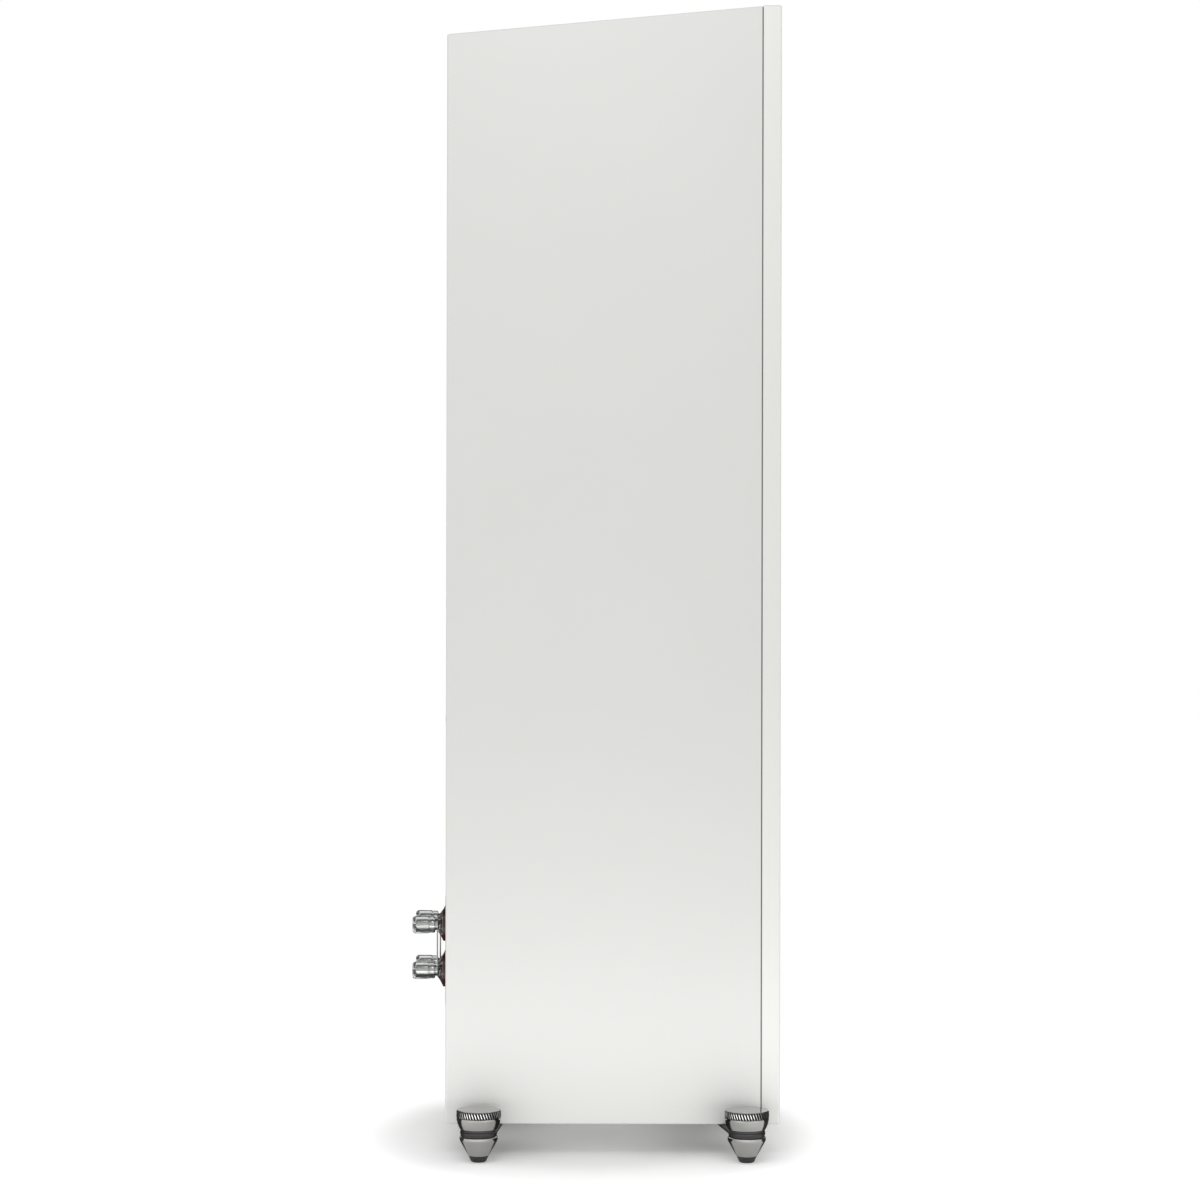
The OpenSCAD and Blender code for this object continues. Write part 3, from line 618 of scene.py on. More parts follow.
def port():
    flare = arc(45, -7.5, 10, 180, 90, 14)
    outline = [(35.0, -127.5), *flare, (56.2, 2.5), (57.0, 1.7), (57, 0), (46, 0), (46, -2), (40, -7.5),
               (37.5, -13.5), (37.5, -128.5), (39.5, -132.5), (43, -134.5), (42, -136), (38, -134), (35.8, -131)]
    mesh = as_mesh(moved(lathe(outline, 128), on_back(0, PORT_Z)))
    return cut_away(mesh, moved(around(counterbored(PORT_SEAT, 8), 51.5, 3, 90), on_back(0, PORT_Z)))


make("port", port(), BLACK_PLASTIC, nodes="bass_port")

# ---------------------------------------------------------------- drivers


def basket():
    outline = rounded([
        (77.5, -0.5, 0.5), (88, -0.5, 0.6), (88, -5), (78.5, -5), (78.5, -12, 1), (56, -41.5, 2), (50, -54.5, 1),
        (18.5, -54.5), (18.5, -51), (46, -51, 1), (46, -40), (52.5, -40, 0.5), (74.6, -12.5, 1), (70.5, -10, 0.5),
        (70.5, -7.5), (75.5, -7.5, 0.3), (75.5, -2, 0.5),
    ], 3)
    mesh = as_mesh(lathe(outline, 144))
    cutters = []
    for i in range(6):
        window = []
        for r, a0, a1 in ((50, -18, 18), (92, 19, -19)):
            for k in range(7):
                a = math.radians(a0 + (a1 - a0) * k / 6)
                window.append((r * math.cos(a), r * math.sin(a)))
        window = rounded([(x, y, 3.0) for x, y in window], 3)
        cutters.append(moved(slab(window, -37, -14.5), Matrix.Rotation(math.radians(60 * i), 4, "Z")))
    cutters.append(around(countersunk(), 83.5, 6, 30))
    return cut_away(mesh, *cutters)


at_drivers = [on_front(z) for _, z in DRIVERS]
make("baskets", copies(basket(), at_drivers), CASTING, nodes="driver_baskets")


def magnet_system():
    steel = together(
        lathe(rounded([(18.3, -60.5), (52, -60.5, 0.8), (52, -54.5, 0.8), (18.3, -54.5)], 3), 96),
        lathe(rounded([(8, -84.5, 2), (50, -84.5, 1.5), (52, -82.5, 1), (52, -78.5), (15.2, -78.5),
                       (15.2, -54, 0.6), (6, -54, 1), (6, -82.5)], 3), 96),
    )
    ferrite = lathe(rounded([(24, -78.5), (55, -78.5, 1.2), (55, -60.5, 1.2), (24, -60.5)], 3), 96)
    return steel, ferrite


steel, ferrite = magnet_system()
make("magnet_steel", at_each(steel, at_drivers), ZINC, nodes="driver_magnets")
make("magnet_ferrite", at_each(ferrite, at_drivers), FERRITE)


def surround():
    """Half-roll between the cone's rim and the frame's ledge."""
    roll_out = arc(65.5, -7.5, 5.5, 8, 172, 20)
    roll_in = arc(65.5, -7.5, 4.7, 180, 0, 20)
    lip = [(59.0, -7.2), (56.8, -7.7), (56.5, -8.0), (56.5, -8.5), (60.0, -8.5)]
    outline = [(75.3, -6.7), (71.6, -6.7), *roll_out, *lip, *roll_in, (71.2, -7.5), (75.3, -7.5)]
    return lathe(outline, 128)


def spider():
    top, under = [], []
    for i in range(73):
        r = 16.35 + (52 - 16.35) * i / 72
        wave = 0.0
        if 20 < r < 46:
            wave = 1.5 * (1 - math.cos(2 * math.pi * 4 * (r - 20) / 26)) / 2
        top.append((r, -39.4 + wave))
        under.append((r, -40 + wave))
    return lathe(top[::-1] + under, 96)


def radial_weights(obj, centre_z, inner, outer):
    """Spreads the bend from the frame, at radius outer, to the moving part, at radius inner."""
    values = obj.data.attributes["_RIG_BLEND"].data
    for i, v in enumerate(obj.data.vertices):
        r = 1000 * math.hypot(v.co.x, v.co.z - 0.001 * centre_z)
        t = min(1.0, max(0.0, (outer - r) / (outer - inner)))
        values[i].value = t * t * (3 - 2 * t)


def suspended(name, part, material_, body, z, inner, outer, nodes=()):
    mesh = as_mesh(moved(part, on_front(z)), name)
    shade(mesh, 40)
    mesh.materials.append(material_)
    obj = bpy.data.objects.new(name, mesh)
    bpy.context.scene.collection.objects.link(obj)
    if nodes:
        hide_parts(nodes)
    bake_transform(obj, "cabinet", body, (0, 0.001 * FRONT_Y, 0.001 * z), (0, 0.001 * FRONT_Y + 0.02, 0.001 * z))
    radial_weights(obj, z, inner, outer)
    return obj


def flank_z(r):
    return -28.5 + 20 * ((r - 20) / 36.5) ** 0.88


def cone():
    """One-piece diaphragm with a concave centre."""
    top = []
    for k in range(13):
        r = 19.0 * k / 12
        top.append((r, -32.5 + 4 * (r / 20) ** 2))
    top += [(19.7, -28.75), (20.4, -28.35)]
    for k in range(1, 17):
        r = 20.4 + (56.5 - 20.4) * k / 16
        top.append((r, flank_z(r)))
    top.append((59.5, -8.5))
    under = [(r, z - 0.8) for r, z in top]
    return lathe(top + under[::-1], 128)


def voice_coil():
    former = lathe([(15.8, -30.8), (16.3, -30.65), (16.3, -66), (15.8, -66)], 64)
    turns = [(16.3, -50.0)]
    for k in range(20):
        z = -50 - 0.8 * k
        turns += [(17.15, z - 0.05), (17.4, z - 0.4), (17.15, z - 0.75)]
    turns += [(16.3, -66.0)]
    return former, lathe(turns, 64)


for name, z in DRIVERS:
    body = f"{name}_diaphragm"
    make(f"{name}_dish", moved(cone(), on_front(z)), CONE, body, f"{name}_cone", 24)
    former, winding = voice_coil()
    make(f"{name}_former", moved(former, on_front(z)), PHENOLIC, body)
    make(f"{name}_winding", moved(winding, on_front(z)), COPPER, body, f"{name}_coil")
    # all three surrounds, and all three spiders, stand for one node
    rolls, discs = ("driver_surrounds", "driver_spiders") if name == "midrange" else ((), ())
    suspended(f"{name}_surround", surround(), SURROUND, body, z, 60, 71, rolls)
    suspended(f"{name}_spider", spider(), PHENOLIC, body, z, 19, 47, discs)


def waveguide():
    throat = []
    for k in range(19):
        a = math.radians(90 * k / 18)
        r = 40 - 24.8 * (1 - math.cos(a))
        z = -0.9 - 10.6 * (1 - math.cos(a)) * (0.4 + 0.6 * math.sin(a))
        throat.append((r, z))
    outline = [(15.2, -14.5), (41, -14.5), (41, -5), (52, -5), (52, -1.0), (51.5, -0.5), (41.4, -0.5), (40.7, -0.6)]
    mesh = as_mesh(lathe(outline + throat, 144))
    return cut_away(mesh, around(countersunk(), 46.5, 4, 45))


make("waveguide", copies(waveguide(), [on_front(TWEETER_Z)]), BLACK_PLASTIC, nodes="tweeter_waveguide")


def dome():
    cap = []
    for k in range(17):
        a = math.radians(88 * k / 16)
        cap.append((12.7 * math.sin(a), -12.5 + 6 * math.cos(a)))
    roll = arc(13.85, -12.3, 0.95, 165, 10, 8)
    under = [(14.9, -12.5), (14.5, -12.5), *arc(13.85, -12.5, 0.6, 20, 160, 5)]
    under += [(12.7, -12.9), (12.7, -20.5), (12.2, -20.5)]
    inner = [(max(0.0, r * 0.96), z - 0.45) for r, z in cap]
    return lathe(cap + roll + under + inner[::-1], 96)


make("dome", moved(dome(), on_front(TWEETER_Z)), SILK, "tweeter_diaphragm", "tweeter_dome", 40)

tweeter_steel = together(
    lathe(rounded([(13.2, -18.5), (34, -18.5, 0.6), (34, -14.5, 0.6), (13.2, -14.5)], 3), 80),
    lathe(rounded([(0, -34.5), (34, -34.5, 0.6), (34, -30.5, 0.6), (11.6, -30.5), (11.6, -16.5, 0.4),
                   (0, -16.5)], 3), 80),
    lathe(rounded([(0, -50), (28, -50, 3), (28, -34.5), (0, -34.5)], 4), 80),
)
make("tweeter_motor", moved(tweeter_steel, on_front(TWEETER_Z)), ZINC, nodes="tweeter_magnet")
make("tweeter_ferrite", moved(lathe(rounded([(22, -30.5), (36, -30.5, 1), (36, -18.5, 1), (22, -18.5)], 3), 80),
                              on_front(TWEETER_Z)), FERRITE)

# ---------------------------------------------------------------- inside the cabinet


def shelf(z, windows):
    y0, y1 = CARCASS_Y, REAR_Y - BOARD
    mesh = as_mesh(box(-INNER_W / 2, INNER_W / 2, y0, y1, z - BOARD / 2, z + BOARD / 2, 0.4))
    cutters = [moved(bore(8, -12, 12), at(LOOM_X, LOOM_Y, z))]
    if windows:
        depth = (y1 - y0 - 2 * 26 - 26) / 2
        for i in range(2):
            a = y0 + 26 + i * (depth + 26)
            cutters.append(box(-66, 66, a, a + depth, z - 12, z + 12, 0.0, 10.0))
    return cut_away(mesh, *cutters)


for name, z, windows in (("shelf_upper", 803, False), ("brace_middle", 621, True), ("brace_lower", 309, True)):
    make(name, shelf(z, windows), FIBREBOARD, nodes="internal_shelves" if z == 803 else ())


def egg_crate(z0, z1):
    """Foam slab whose inner face is a field of rounded peaks."""
    nx, nz = 46, int((z1 - z0) / 3)
    x0, x1 = -88.0, 50.0
    back_y = REAR_Y - BOARD
    verts, faces = [], []
    for j in range(nz + 1):
        for i in range(nx + 1):
            x, z = x0 + (x1 - x0) * i / nx, z0 + (z1 - z0) * j / nz
            wave = math.cos(2 * math.pi * (x - x0) / 23) * math.cos(2 * math.pi * (z - z0) / 23)
            verts.append((x, back_y - 13 + 6.5 * wave, z))
    count = len(verts)
    verts += [(x, back_y, z) for x, _, z in verts]
    w = nx + 1
    for j in range(nz):
        for i in range(nx):
            a = j * w + i
            faces.append((a, a + 1, a + w + 1, a + w))
            faces.append((a + count, a + w + count, a + w + 1 + count, a + 1 + count))
    rim = list(range(w)) + [j * w + nx for j in range(1, nz + 1)]
    rim += [nz * w + i for i in range(nx - 1, -1, -1)] + [j * w for j in range(nz - 1, 0, -1)]
    for a, b in zip(rim, rim[1:] + rim[:1]):
        faces.append((a, a + count, b + count, b))
    return verts, faces


make("foam", together(egg_crate(470, 605), egg_crate(640, 785), egg_crate(820, 1050)), FOAM,
     nodes="damping_foam", sharp=60)

BOARD_TOP = BOTTOM_Z + BOARD + 5 + 1.6


def crossover():
    pcb = box(-78, 72, -80, 110, BOARD_TOP - 1.6, BOARD_TOP, 0.15, 3.0)
    make("circuit_board", pcb, SOLDER_MASK, nodes="crossover_board")
    spacer = lathe(rounded([(2.1, 0), (4, 0, 0.3), (4, 5, 0.3), (2.1, 5)], 3), 32)
    feet = [at(x, y, BOTTOM_Z + BOARD) for x, y in CROSSOVER_SCREWS]
    make("standoffs", at_each(spacer, feet), NICKEL)
    tracks = []
    for x0, y0, x1, y1 in ((-48, -22, -48, -12), (-24, -48, -16, -48), (-10, -14, -26, 2), (12, -32, 26, -32),
                           (46, -20, 46, 34), (-14, 88, -14, 98), (14, 84, 40, 84), (-34, 60, -26, 60),
                           (2, 32, 2, 40), (60, 22, 60, 36)):
        along = Vector((x1 - x0, y1 - y0, 0))
        angle = math.atan2(along.y, along.x)
        strip = box(0, along.length, -1.2, 1.2, 0, 0.12)
        tracks.append(moved(strip, at(x0, y0, BOARD_TOP) @ Matrix.Rotation(angle, 4, "Z")))
    make("tracks", together(*tracks), COPPER)
    coils = []
    for x, y, r, h in ((-48, -48, 24, 22), (-48, 8, 22, 20), (4, -50, 20, 18), (-52, 60, 18, 16)):
        rows = int(h / 1.1)
        outer = []
        for k in range(rows):
            z = h * k / rows
            outer += [(r - 0.35, z + 0.05), (r, z + 0.5 * h / rows), (r - 0.35, z + h / rows - 0.05)]
        inner = [(r * 0.42, h), (r * 0.42, 0)]
        coils.append(moved(lathe(outer + inner, 72), at(x, y, BOARD_TOP)))
    make("inductors", together(*coils), COPPER, nodes="crossover_inductors")
    cans, leads = [], []
    for x, y, r, length in ((2, -14, 11, 42), (32, -20, 9, 38), (54, -18, 9, 38), (-14, 46, 10, 40), (14, 46, 9, 36)):
        can = lathe(rounded([(0, 0), (r - 1.5, 0, 0.5), (r, 1.2, 0.8), (r, length - 1.2, 0.8),
                             (r - 1.5, length, 0.5), (0, length)], 3), 40)
        lie = at(x, y, BOARD_TOP + r) @ Matrix.Rotation(math.radians(-90), 4, "X")
        cans.append(moved(can, lie))
        for end, step in ((y, -1), (y + length, 1)):
            path = [(x, end, BOARD_TOP + r), (x, end + 3 * step, BOARD_TOP + r)]
            path += [(x, end + 4.5 * step, BOARD_TOP + r - 1.5), (x, end + 4.5 * step, BOARD_TOP)]
            leads.append(tube(path, 0.5))
    make("capacitors", together(*cans), FILM, nodes="crossover_capacitors")
    for i in range(3):
        x = 40 + i * 11
        for end, step in ((38, -1), (84, 1)):
            path = [(x, end, BOARD_TOP + 4.5), (x, end + 2.5 * step, BOARD_TOP + 4.5), (x, end + 3 * step, BOARD_TOP)]
            leads.append(tube(path, 0.5))
    blocks = [box(36 + i * 11, 44 + i * 11, 38, 84, BOARD_TOP, BOARD_TOP + 9, 0.7, 0.8) for i in range(3)]
    make("resistors", together(*blocks), CEMENT, nodes="crossover_resistors")
    make("component_leads", together(*leads), NICKEL)


crossover()


def smooth_path(points, steps=8):
    """Catmull-Rom curve through the points."""
    path = [Vector(p) for p in points]
    path = [path[0] * 2 - path[1], *path, path[-1] * 2 - path[-2]]
    out = []
    for i in range(1, len(path) - 2):
        a, b, c, d = path[i - 1:i + 3]
        for k in range(steps):
            t = k / steps
            out.append(0.5 * (2 * b + (c - a) * t + (2 * a - 5 * b + 4 * c - d) * t * t
                              + (3 * b - a - 3 * c + d) * t ** 3))
    out.append(path[-2])
    return out


def wiring():
    red, black = [], []
    for colour, dx in ((red, -1.6), (black, 1.6)):
        for z, reach in [(TWEETER_Z, -141.0)] + [(z, -113.0) for _, z in DRIVERS]:
            x = LOOM_X + dx
            end = 42 if z == TWEETER_Z else 58
            path = [(x, LOOM_Y, BOARD_TOP + 8), (x, LOOM_Y, z - 60), (x, 105, z - 20), (x - 1, 96, z - 3),
                    (x - 1, 60, z + dx), (x - 1, -20, z + dx), (x - 2, reach + 25, z + dx),
                    (x - 4, reach + 4, z + dx), (x - 10, reach, z + dx), (end, reach, z + dx)]
            colour.append(tube(smooth_path(path), 1.3))
        x = LOOM_X + dx
        path = [(x, 80, BOARD_TOP + 4), (x, 96, BOARD_TOP + 4), (x, 105, BOARD_TOP + 7), (x, LOOM_Y, BOARD_TOP + 20)]
        colour.append(tube(smooth_path(path), 1.5))
    for colour, x in ((red, -POST_X), (black, POST_X)):
        for z in POST_Z.values():
            y = LOOM_Y + 3 * (1 if x > 0 else -1)
            path = [(x, 131.5, z), (x, 124, z), (x + 3, y + 6, z), (x + 14, y, z), (60, y, z), (69, y, z - 4),
                    (71, LOOM_Y, z - 14)]
            colour.append(tube(smooth_path(path), 1.5))
    tie = lathe(rounded([(3.2, -1.2), (4.0, -1.2, 0.3), (4.0, 1.2, 0.3), (3.2, 1.2)], 2), 24)
    levels = (120, 260, 360, 460, 590, 680, 760, 850, 960)
    make("leads_red", together(*red), LEAD_RED, nodes="internal_wiring")
    make("leads_black", together(*black), LEAD_BLACK)
    make("cable_ties", at_each(tie, [at(LOOM_X, LOOM_Y, z) for z in levels]), BLACK_PLASTIC)


wiring()

# ---------------------------------------------------------------- terminals


def terminal_plate():
    outline = rounded([(-54, -58, 8), (54, -58, 8), (54, 58, 8), (-54, 58, 8)], 8)
    mesh = as_mesh(slab(outline, 0, 3, 0.0, 0.8))
    hole = bore(3.7, -1, 6)
    screw_hole = counterbored(0.5, 6)
    cutters = [moved(hole, at(x, z, 0)) for x in (-POST_X, POST_X) for z in (-23, 23)]
    cutters += [moved(screw_hole, at(x, z, 0)) for x, z in PLATE_SCREWS]
    mesh = cut_away(mesh, *cutters)
    return copies(mesh, [on_back(0, POST_MID_Z)])


make("terminal_board", terminal_plate(), BLACK_PLASTIC, nodes="terminal_plate")

ring = lathe(rounded([(3.7, 3), (16.2, 3), (16.2, 6.2, 0.4), (15.3, 6.6, 0.2), (3.7, 6.6)], 4), 96)
bell = lathe([(3.7, 6.6), (15.0, 6.6), (15.0, 6.75), (13.6, 7.4), (11.9, 8.3), (10.2, 9.2), (8.7, 10.2), (7.6, 11.0),
              (7.0, 11.5), (6.8, 11.7), (3.7, 11.7)], 96)


def at_posts(x):
    return [on_back(x, z) for z in POST_Z.values()]


make("rings_red", at_each(ring, at_posts(-POST_X)), RING_RED, nodes="polarity_rings")
make("rings_black", at_each(ring, at_posts(POST_X)), RING_BLACK)
make("bells", at_each(bell, at_posts(-POST_X) + at_posts(POST_X)), NICKEL,
     nodes="post_cones", sharp=40)


def post():
    rod = as_mesh(threaded(3.6, 0.3, 1.0, -14, 33.5, 40, 0.5))
    socket = lathe(rounded([(0, 17.5), (2.0, 17.5), (2.0, 33.2), (2.6, 34), (0, 34)], 2), 32)
    wire_hole = moved(bore(1.2, -10, 10, 20), at(0, 0, 15.8) @ Matrix.Rotation(math.radians(90), 4, "Y"))
    rod = cut_away(rod, socket, wire_hole)
    return merged([rod, as_mesh(slab(hexagon(6.5), -5, 0, 0.6, 0.0))])


make("posts", copies(post(), at_posts(-POST_X) + at_posts(POST_X)), GOLD, nodes="binding_posts")


def link():
    outline = []
    for sign in (1, -1):
        for k in range(13):
            a = math.radians(-55 + 290 * k / 12)
            outline.append((6 * math.cos(a) * sign, sign * (23 + 6 * math.sin(a))))
    mesh = as_mesh(slab(outline, 11.7, 12.9, 0.25, 0.25, None, 2))
    hole = bore(3.7, 11, 14)
    mesh = cut_away(mesh, moved(hole, at(0, 23, 0)), moved(hole, at(0, -23, 0)))
    return copies(mesh, [on_back(-POST_X, POST_MID_Z), on_back(POST_X, POST_MID_Z)])


make("links", link(), NICKEL, nodes="jumper_links")


def knob_shell():
    """Clear cap with shallow flutes, over its metal insert."""
    outline = rounded([
        (5.6, 14.5), (7.3, 14.5, 0.5), (8.1, 15.6, 0.6), (8.1, 20.4, 0.5), (8.75, 21.5, 0.5), (8.75, 34.6, 1.2),
        (7.6, 37, 0.9), (2.7, 37, 0.3), (2.7, 34.6), (5.6, 34.0, 0.6),
    ], 4)

    def flute(r, z, angle, row):
        if r < 8.3 or not 22 < z < 35:
            return r, z, angle
        ease = min(1.0, (z - 22) / 1.5, (35 - z) / 1.5)
        return r - 0.28 * ease * (0.5 - 0.5 * math.cos(12 * angle)), z, angle

    return lathe(outline, 144, flute)


def knob_insert():
    outline = rounded([
        (3.75, 14.3), (6.6, 14.3, 0.3), (6.6, 15.0, 0.2), (5.5, 15.4), (5.5, 19.6, 0.2), (4.9, 20.0), (4.9, 20.8),
        (5.5, 21.2, 0.2), (5.5, 32.5, 0.4), (4.6, 33.8, 0.4), (3.75, 33.8),
    ], 3)

    def grip(r, z, angle, row):
        if r > 5.2 and 21.3 < z < 32.3:
            return r - 0.18 * (0.5 - 0.5 * math.cos(24 * angle)), z, angle
        return r, z, angle

    return lathe(outline, 144, grip)


def knob_washer():
    return lathe(rounded([(3.7, 13.0), (5.4, 13.0, 0.3), (5.4, 14.2, 0.3), (3.7, 14.2)], 3), 64)


for level, z in POST_Z.items():
    for side, sign in SIDES.items():
        label = f"{level}_{side}"
        place = on_back(sign * POST_X, z)
        washer, knob = f"post_washer_{label}", f"post_knob_{label}"
        make(f"washer_{label}", moved(knob_washer(), place), NICKEL, washer, washer)
        make(f"knob_{label}", moved(knob_shell(), place), ACRYLIC, knob, knob)
        make(f"insert_{label}", moved(knob_insert(), place), NICKEL, knob)

# ---------------------------------------------------------------- feet

BOLTS = ((62, -8), (62, 18), (83, 5))
SPREAD = {"front": 34.0, "rear": 25.0}
INWARD = {"front": 1, "rear": -1}
ARM_BOTTOM = 27.0


def bolt_places(sx, end, z):
    return [at(sx * x, FOOT_Y[end] + INWARD[end] * y, z) for x, y in BOLTS]


def arm(sx, end):
    """Flat steel arm: a straight outer edge, an inner edge that widens under the cabinet."""
    y0 = FOOT_Y[end]
    half = [(FOOT_X + 18 * math.cos(math.radians(a)), -18 * math.sin(math.radians(a))) for a in range(-86, 91, 8)]
    points = [(50, -18, 6.0), (50, SPREAD[end], 6.0), (FOOT_X - 3.5, 17.65, 1.0), *half]
    outline = [(sx * x, y0 + INWARD[end] * y) for x, y in rounded(points, 5)]
    mesh = as_mesh(slab(outline, ARM_BOTTOM, BOTTOM_Z, 0.5, 0.5, None, 3))
    boss = as_mesh(moved(lathe(rounded([(0, 25.3), (17.5, 25.3, 0.3), (17.5, 27.2), (0, 27.2)], 3), 72),
                         at(sx * FOOT_X, y0, 0)))
    hole = moved(bore(4.1, 20, 40), at(sx * FOOT_X, y0, 0))
    bolt = bore(3.1, 20, 40, 24)
    mesh = cut_away(mesh, hole, *[moved(bolt, place) for place in bolt_places(sx, end, 0)])
    return mesh, cut_away(boss, hole)


parts = []
for sx in SIDES.values():
    for end in FOOT_Y:
        parts += arm(sx, end)
make("arms", merged(parts), BLACK_STEEL, nodes="outriggers")


def arm_bolt():
    """Bolt that comes up from below; its seat is at z = 0."""
    head = lathe(rounded([(0, -3, 0), (5, -3, 1.2), (5, 0, 0.2), (0, 0)], 5), 40)
    head = cut_away(as_mesh(head), moved(hex_socket(2.0, 2.0, 0), at(0, 0, -2)))
    return merged([head, as_mesh(threaded(3.0, 0.35, 1.0, -0.2, 15, 24))])


places = []
for sx in SIDES.values():
    for end in FOOT_Y:
        places += bolt_places(sx, end, ARM_BOTTOM)
make("arm_bolts", copies(arm_bolt(), places), BLACK_STEEL, nodes="outrigger_bolts")

tip_part = lathe(rounded([
    (0, 0), (5.6, 0, 0.6), (7.4, 0.9, 1.2), (9.8, 6.2, 0.3), (4.0, 6.2), (4.0, 14, 0.5), (0, 14),
], 5), 64)
cone_part = lathe(rounded([
    (4.1, 6.35), (9.85, 6.35, 0.2), (10.25, 6.9, 0.3), (17.9, 20.4, 1.2), (18.5, 22.0, 1.0), (18.5, 24.6, 0.6),
    (17.6, 25.2, 0.2), (4.0, 25.2), (4.0, 20), (0, 20), (0, 14.6), (4.1, 14.6),
], 5), 96)
stud_part = threaded(4.0, 0.45, 1.25, 20.5, 48.3, 32)
lock_washer_part = lathe(rounded([(4.1, 30.1), (17.6, 30.1, 0.3), (17.6, 32.4, 0.5), (4.1, 32.4)], 4), 80)

GROOVES = 48
KNURL_LOW, KNURL_HIGH = 43.9, 50.2


def lock_knob():
    """Turned knob: smooth bowl, slanted knurl, rounded rim and flat polished top."""
    low = rounded([(17.0, 32.5), (18.4, 32.5, 0.5), (20.3, 36.8, 4.0), (21.55, 41.6, 3.0), (21.55, 43.3)], 6)[1:]
    rows = 8
    knurl = [(21.75, KNURL_LOW + (KNURL_HIGH - KNURL_LOW) * i / rows) for i in range(rows + 1)]
    top = rounded([(20.4, 50.35), (21.3, 50.4, 0.1), (21.2, 50.8, 0.3), (20.6, 51.0, 0.4), (18, 51.0)], 4)[1:-1]
    outline = [(4.1, 32.5), *low, (21.0, 43.6), *knurl, (20.7, 50.3), *top, (0, 51.0), (0, 48.8), (4.1, 48.8)]
    first = 1 + len(low) + 1
    columns = 8
    wave = (0.0, 0.0, -0.1, -0.8, -1.2, -1.2, -1.2, -0.8)

    def cut(r, z, angle, row):
        if not first <= row <= first + rows:
            return r, z, angle
        share = (row - first) / rows
        lift = wave[round(angle / (2 * math.pi) * GROOVES * columns) % columns]
        if row in (first, first + rows):
            lift = lift * 0.85 - 0.2
        slant = 0.75 * 2 * math.pi / GROOVES * (share - 0.5)
        return r + lift - 0.25 * share, z, angle - slant

    return lathe(outline, GROOVES * columns, cut)


lock_knob_part = lock_knob()


def knurl_painted_shade_and_highlight(place):
    """Painted shade, black, in the grooves and along the band's two edges, and a painted highlight, a brighter copy of
    the nickel, on the crests, within the knurled band.
    """
    axis = place.translation

    def paint(face):
        centre = 1000 * face.center
        r = math.hypot(centre.x - axis.x, centre.y - axis.y)
        if not 43.35 < centre.z < 50.32 or r < 15:
            return 0
        return 2 if r < 21.38 or not KNURL_LOW < centre.z < KNURL_HIGH else 1

    return paint


for end, y in FOOT_Y.items():
    for side, sx in SIDES.items():
        label = f"{end}_{side}"
        place = at(sx * FOOT_X, y, 0)
        tip, foot_cone = f"foot_tip_{label}", f"foot_cone_{label}"
        washer, knob = f"lock_washer_{label}", f"lock_knob_{label}"
        make(f"tip_{label}", moved(tip_part, place), TIP_RUBBER, tip, tip)
        make(f"cone_{label}", moved(cone_part, place), DARK_NICKEL, foot_cone, foot_cone)
        make(f"stud_{label}", moved(stud_part, place), ZINC, foot_cone)
        make(f"lock_ring_{label}", moved(lock_washer_part, place), BLACK_PLASTIC, washer, washer)
        # The knurl's crests get a painted highlight, and its grooves and band edges a painted shade
        make(f"lock_{label}", moved(lock_knob_part, place), DARK_NICKEL, knob, knob, 28,
             ((PAINTED_CREST_HIGHLIGHT, PAINTED_GROOVE_SHADE), knurl_painted_shade_and_highlight(place)))

# ---------------------------------------------------------------- studio


def ramp_node(tree, stops, source):
    """A colour ramp fed by source; stops are (position, grey value)."""
    ramp = tree.nodes.new("ShaderNodeValToRGB")
    ramp.color_ramp.interpolation = "EASE"
    while len(ramp.color_ramp.elements) < len(stops):
        ramp.color_ramp.elements.new(0.5)
    for element, (position, value) in zip(ramp.color_ramp.elements, stops):
        element.position = position
        element.color = (value, value, value, 1)
    tree.links.new(source, ramp.inputs["Fac"])
    return ramp


def math_node(tree, operation, a, b):
    """A node that combines two values, each a number or a socket."""
    node = tree.nodes.new("ShaderNodeMath")
    node.operation = operation
    for value, socket in ((a, node.inputs[0]), (b, node.inputs[1])):
        if isinstance(value, float):
            socket.default_value = value
        else:
            tree.links.new(value, socket)
    return node.outputs["Value"]


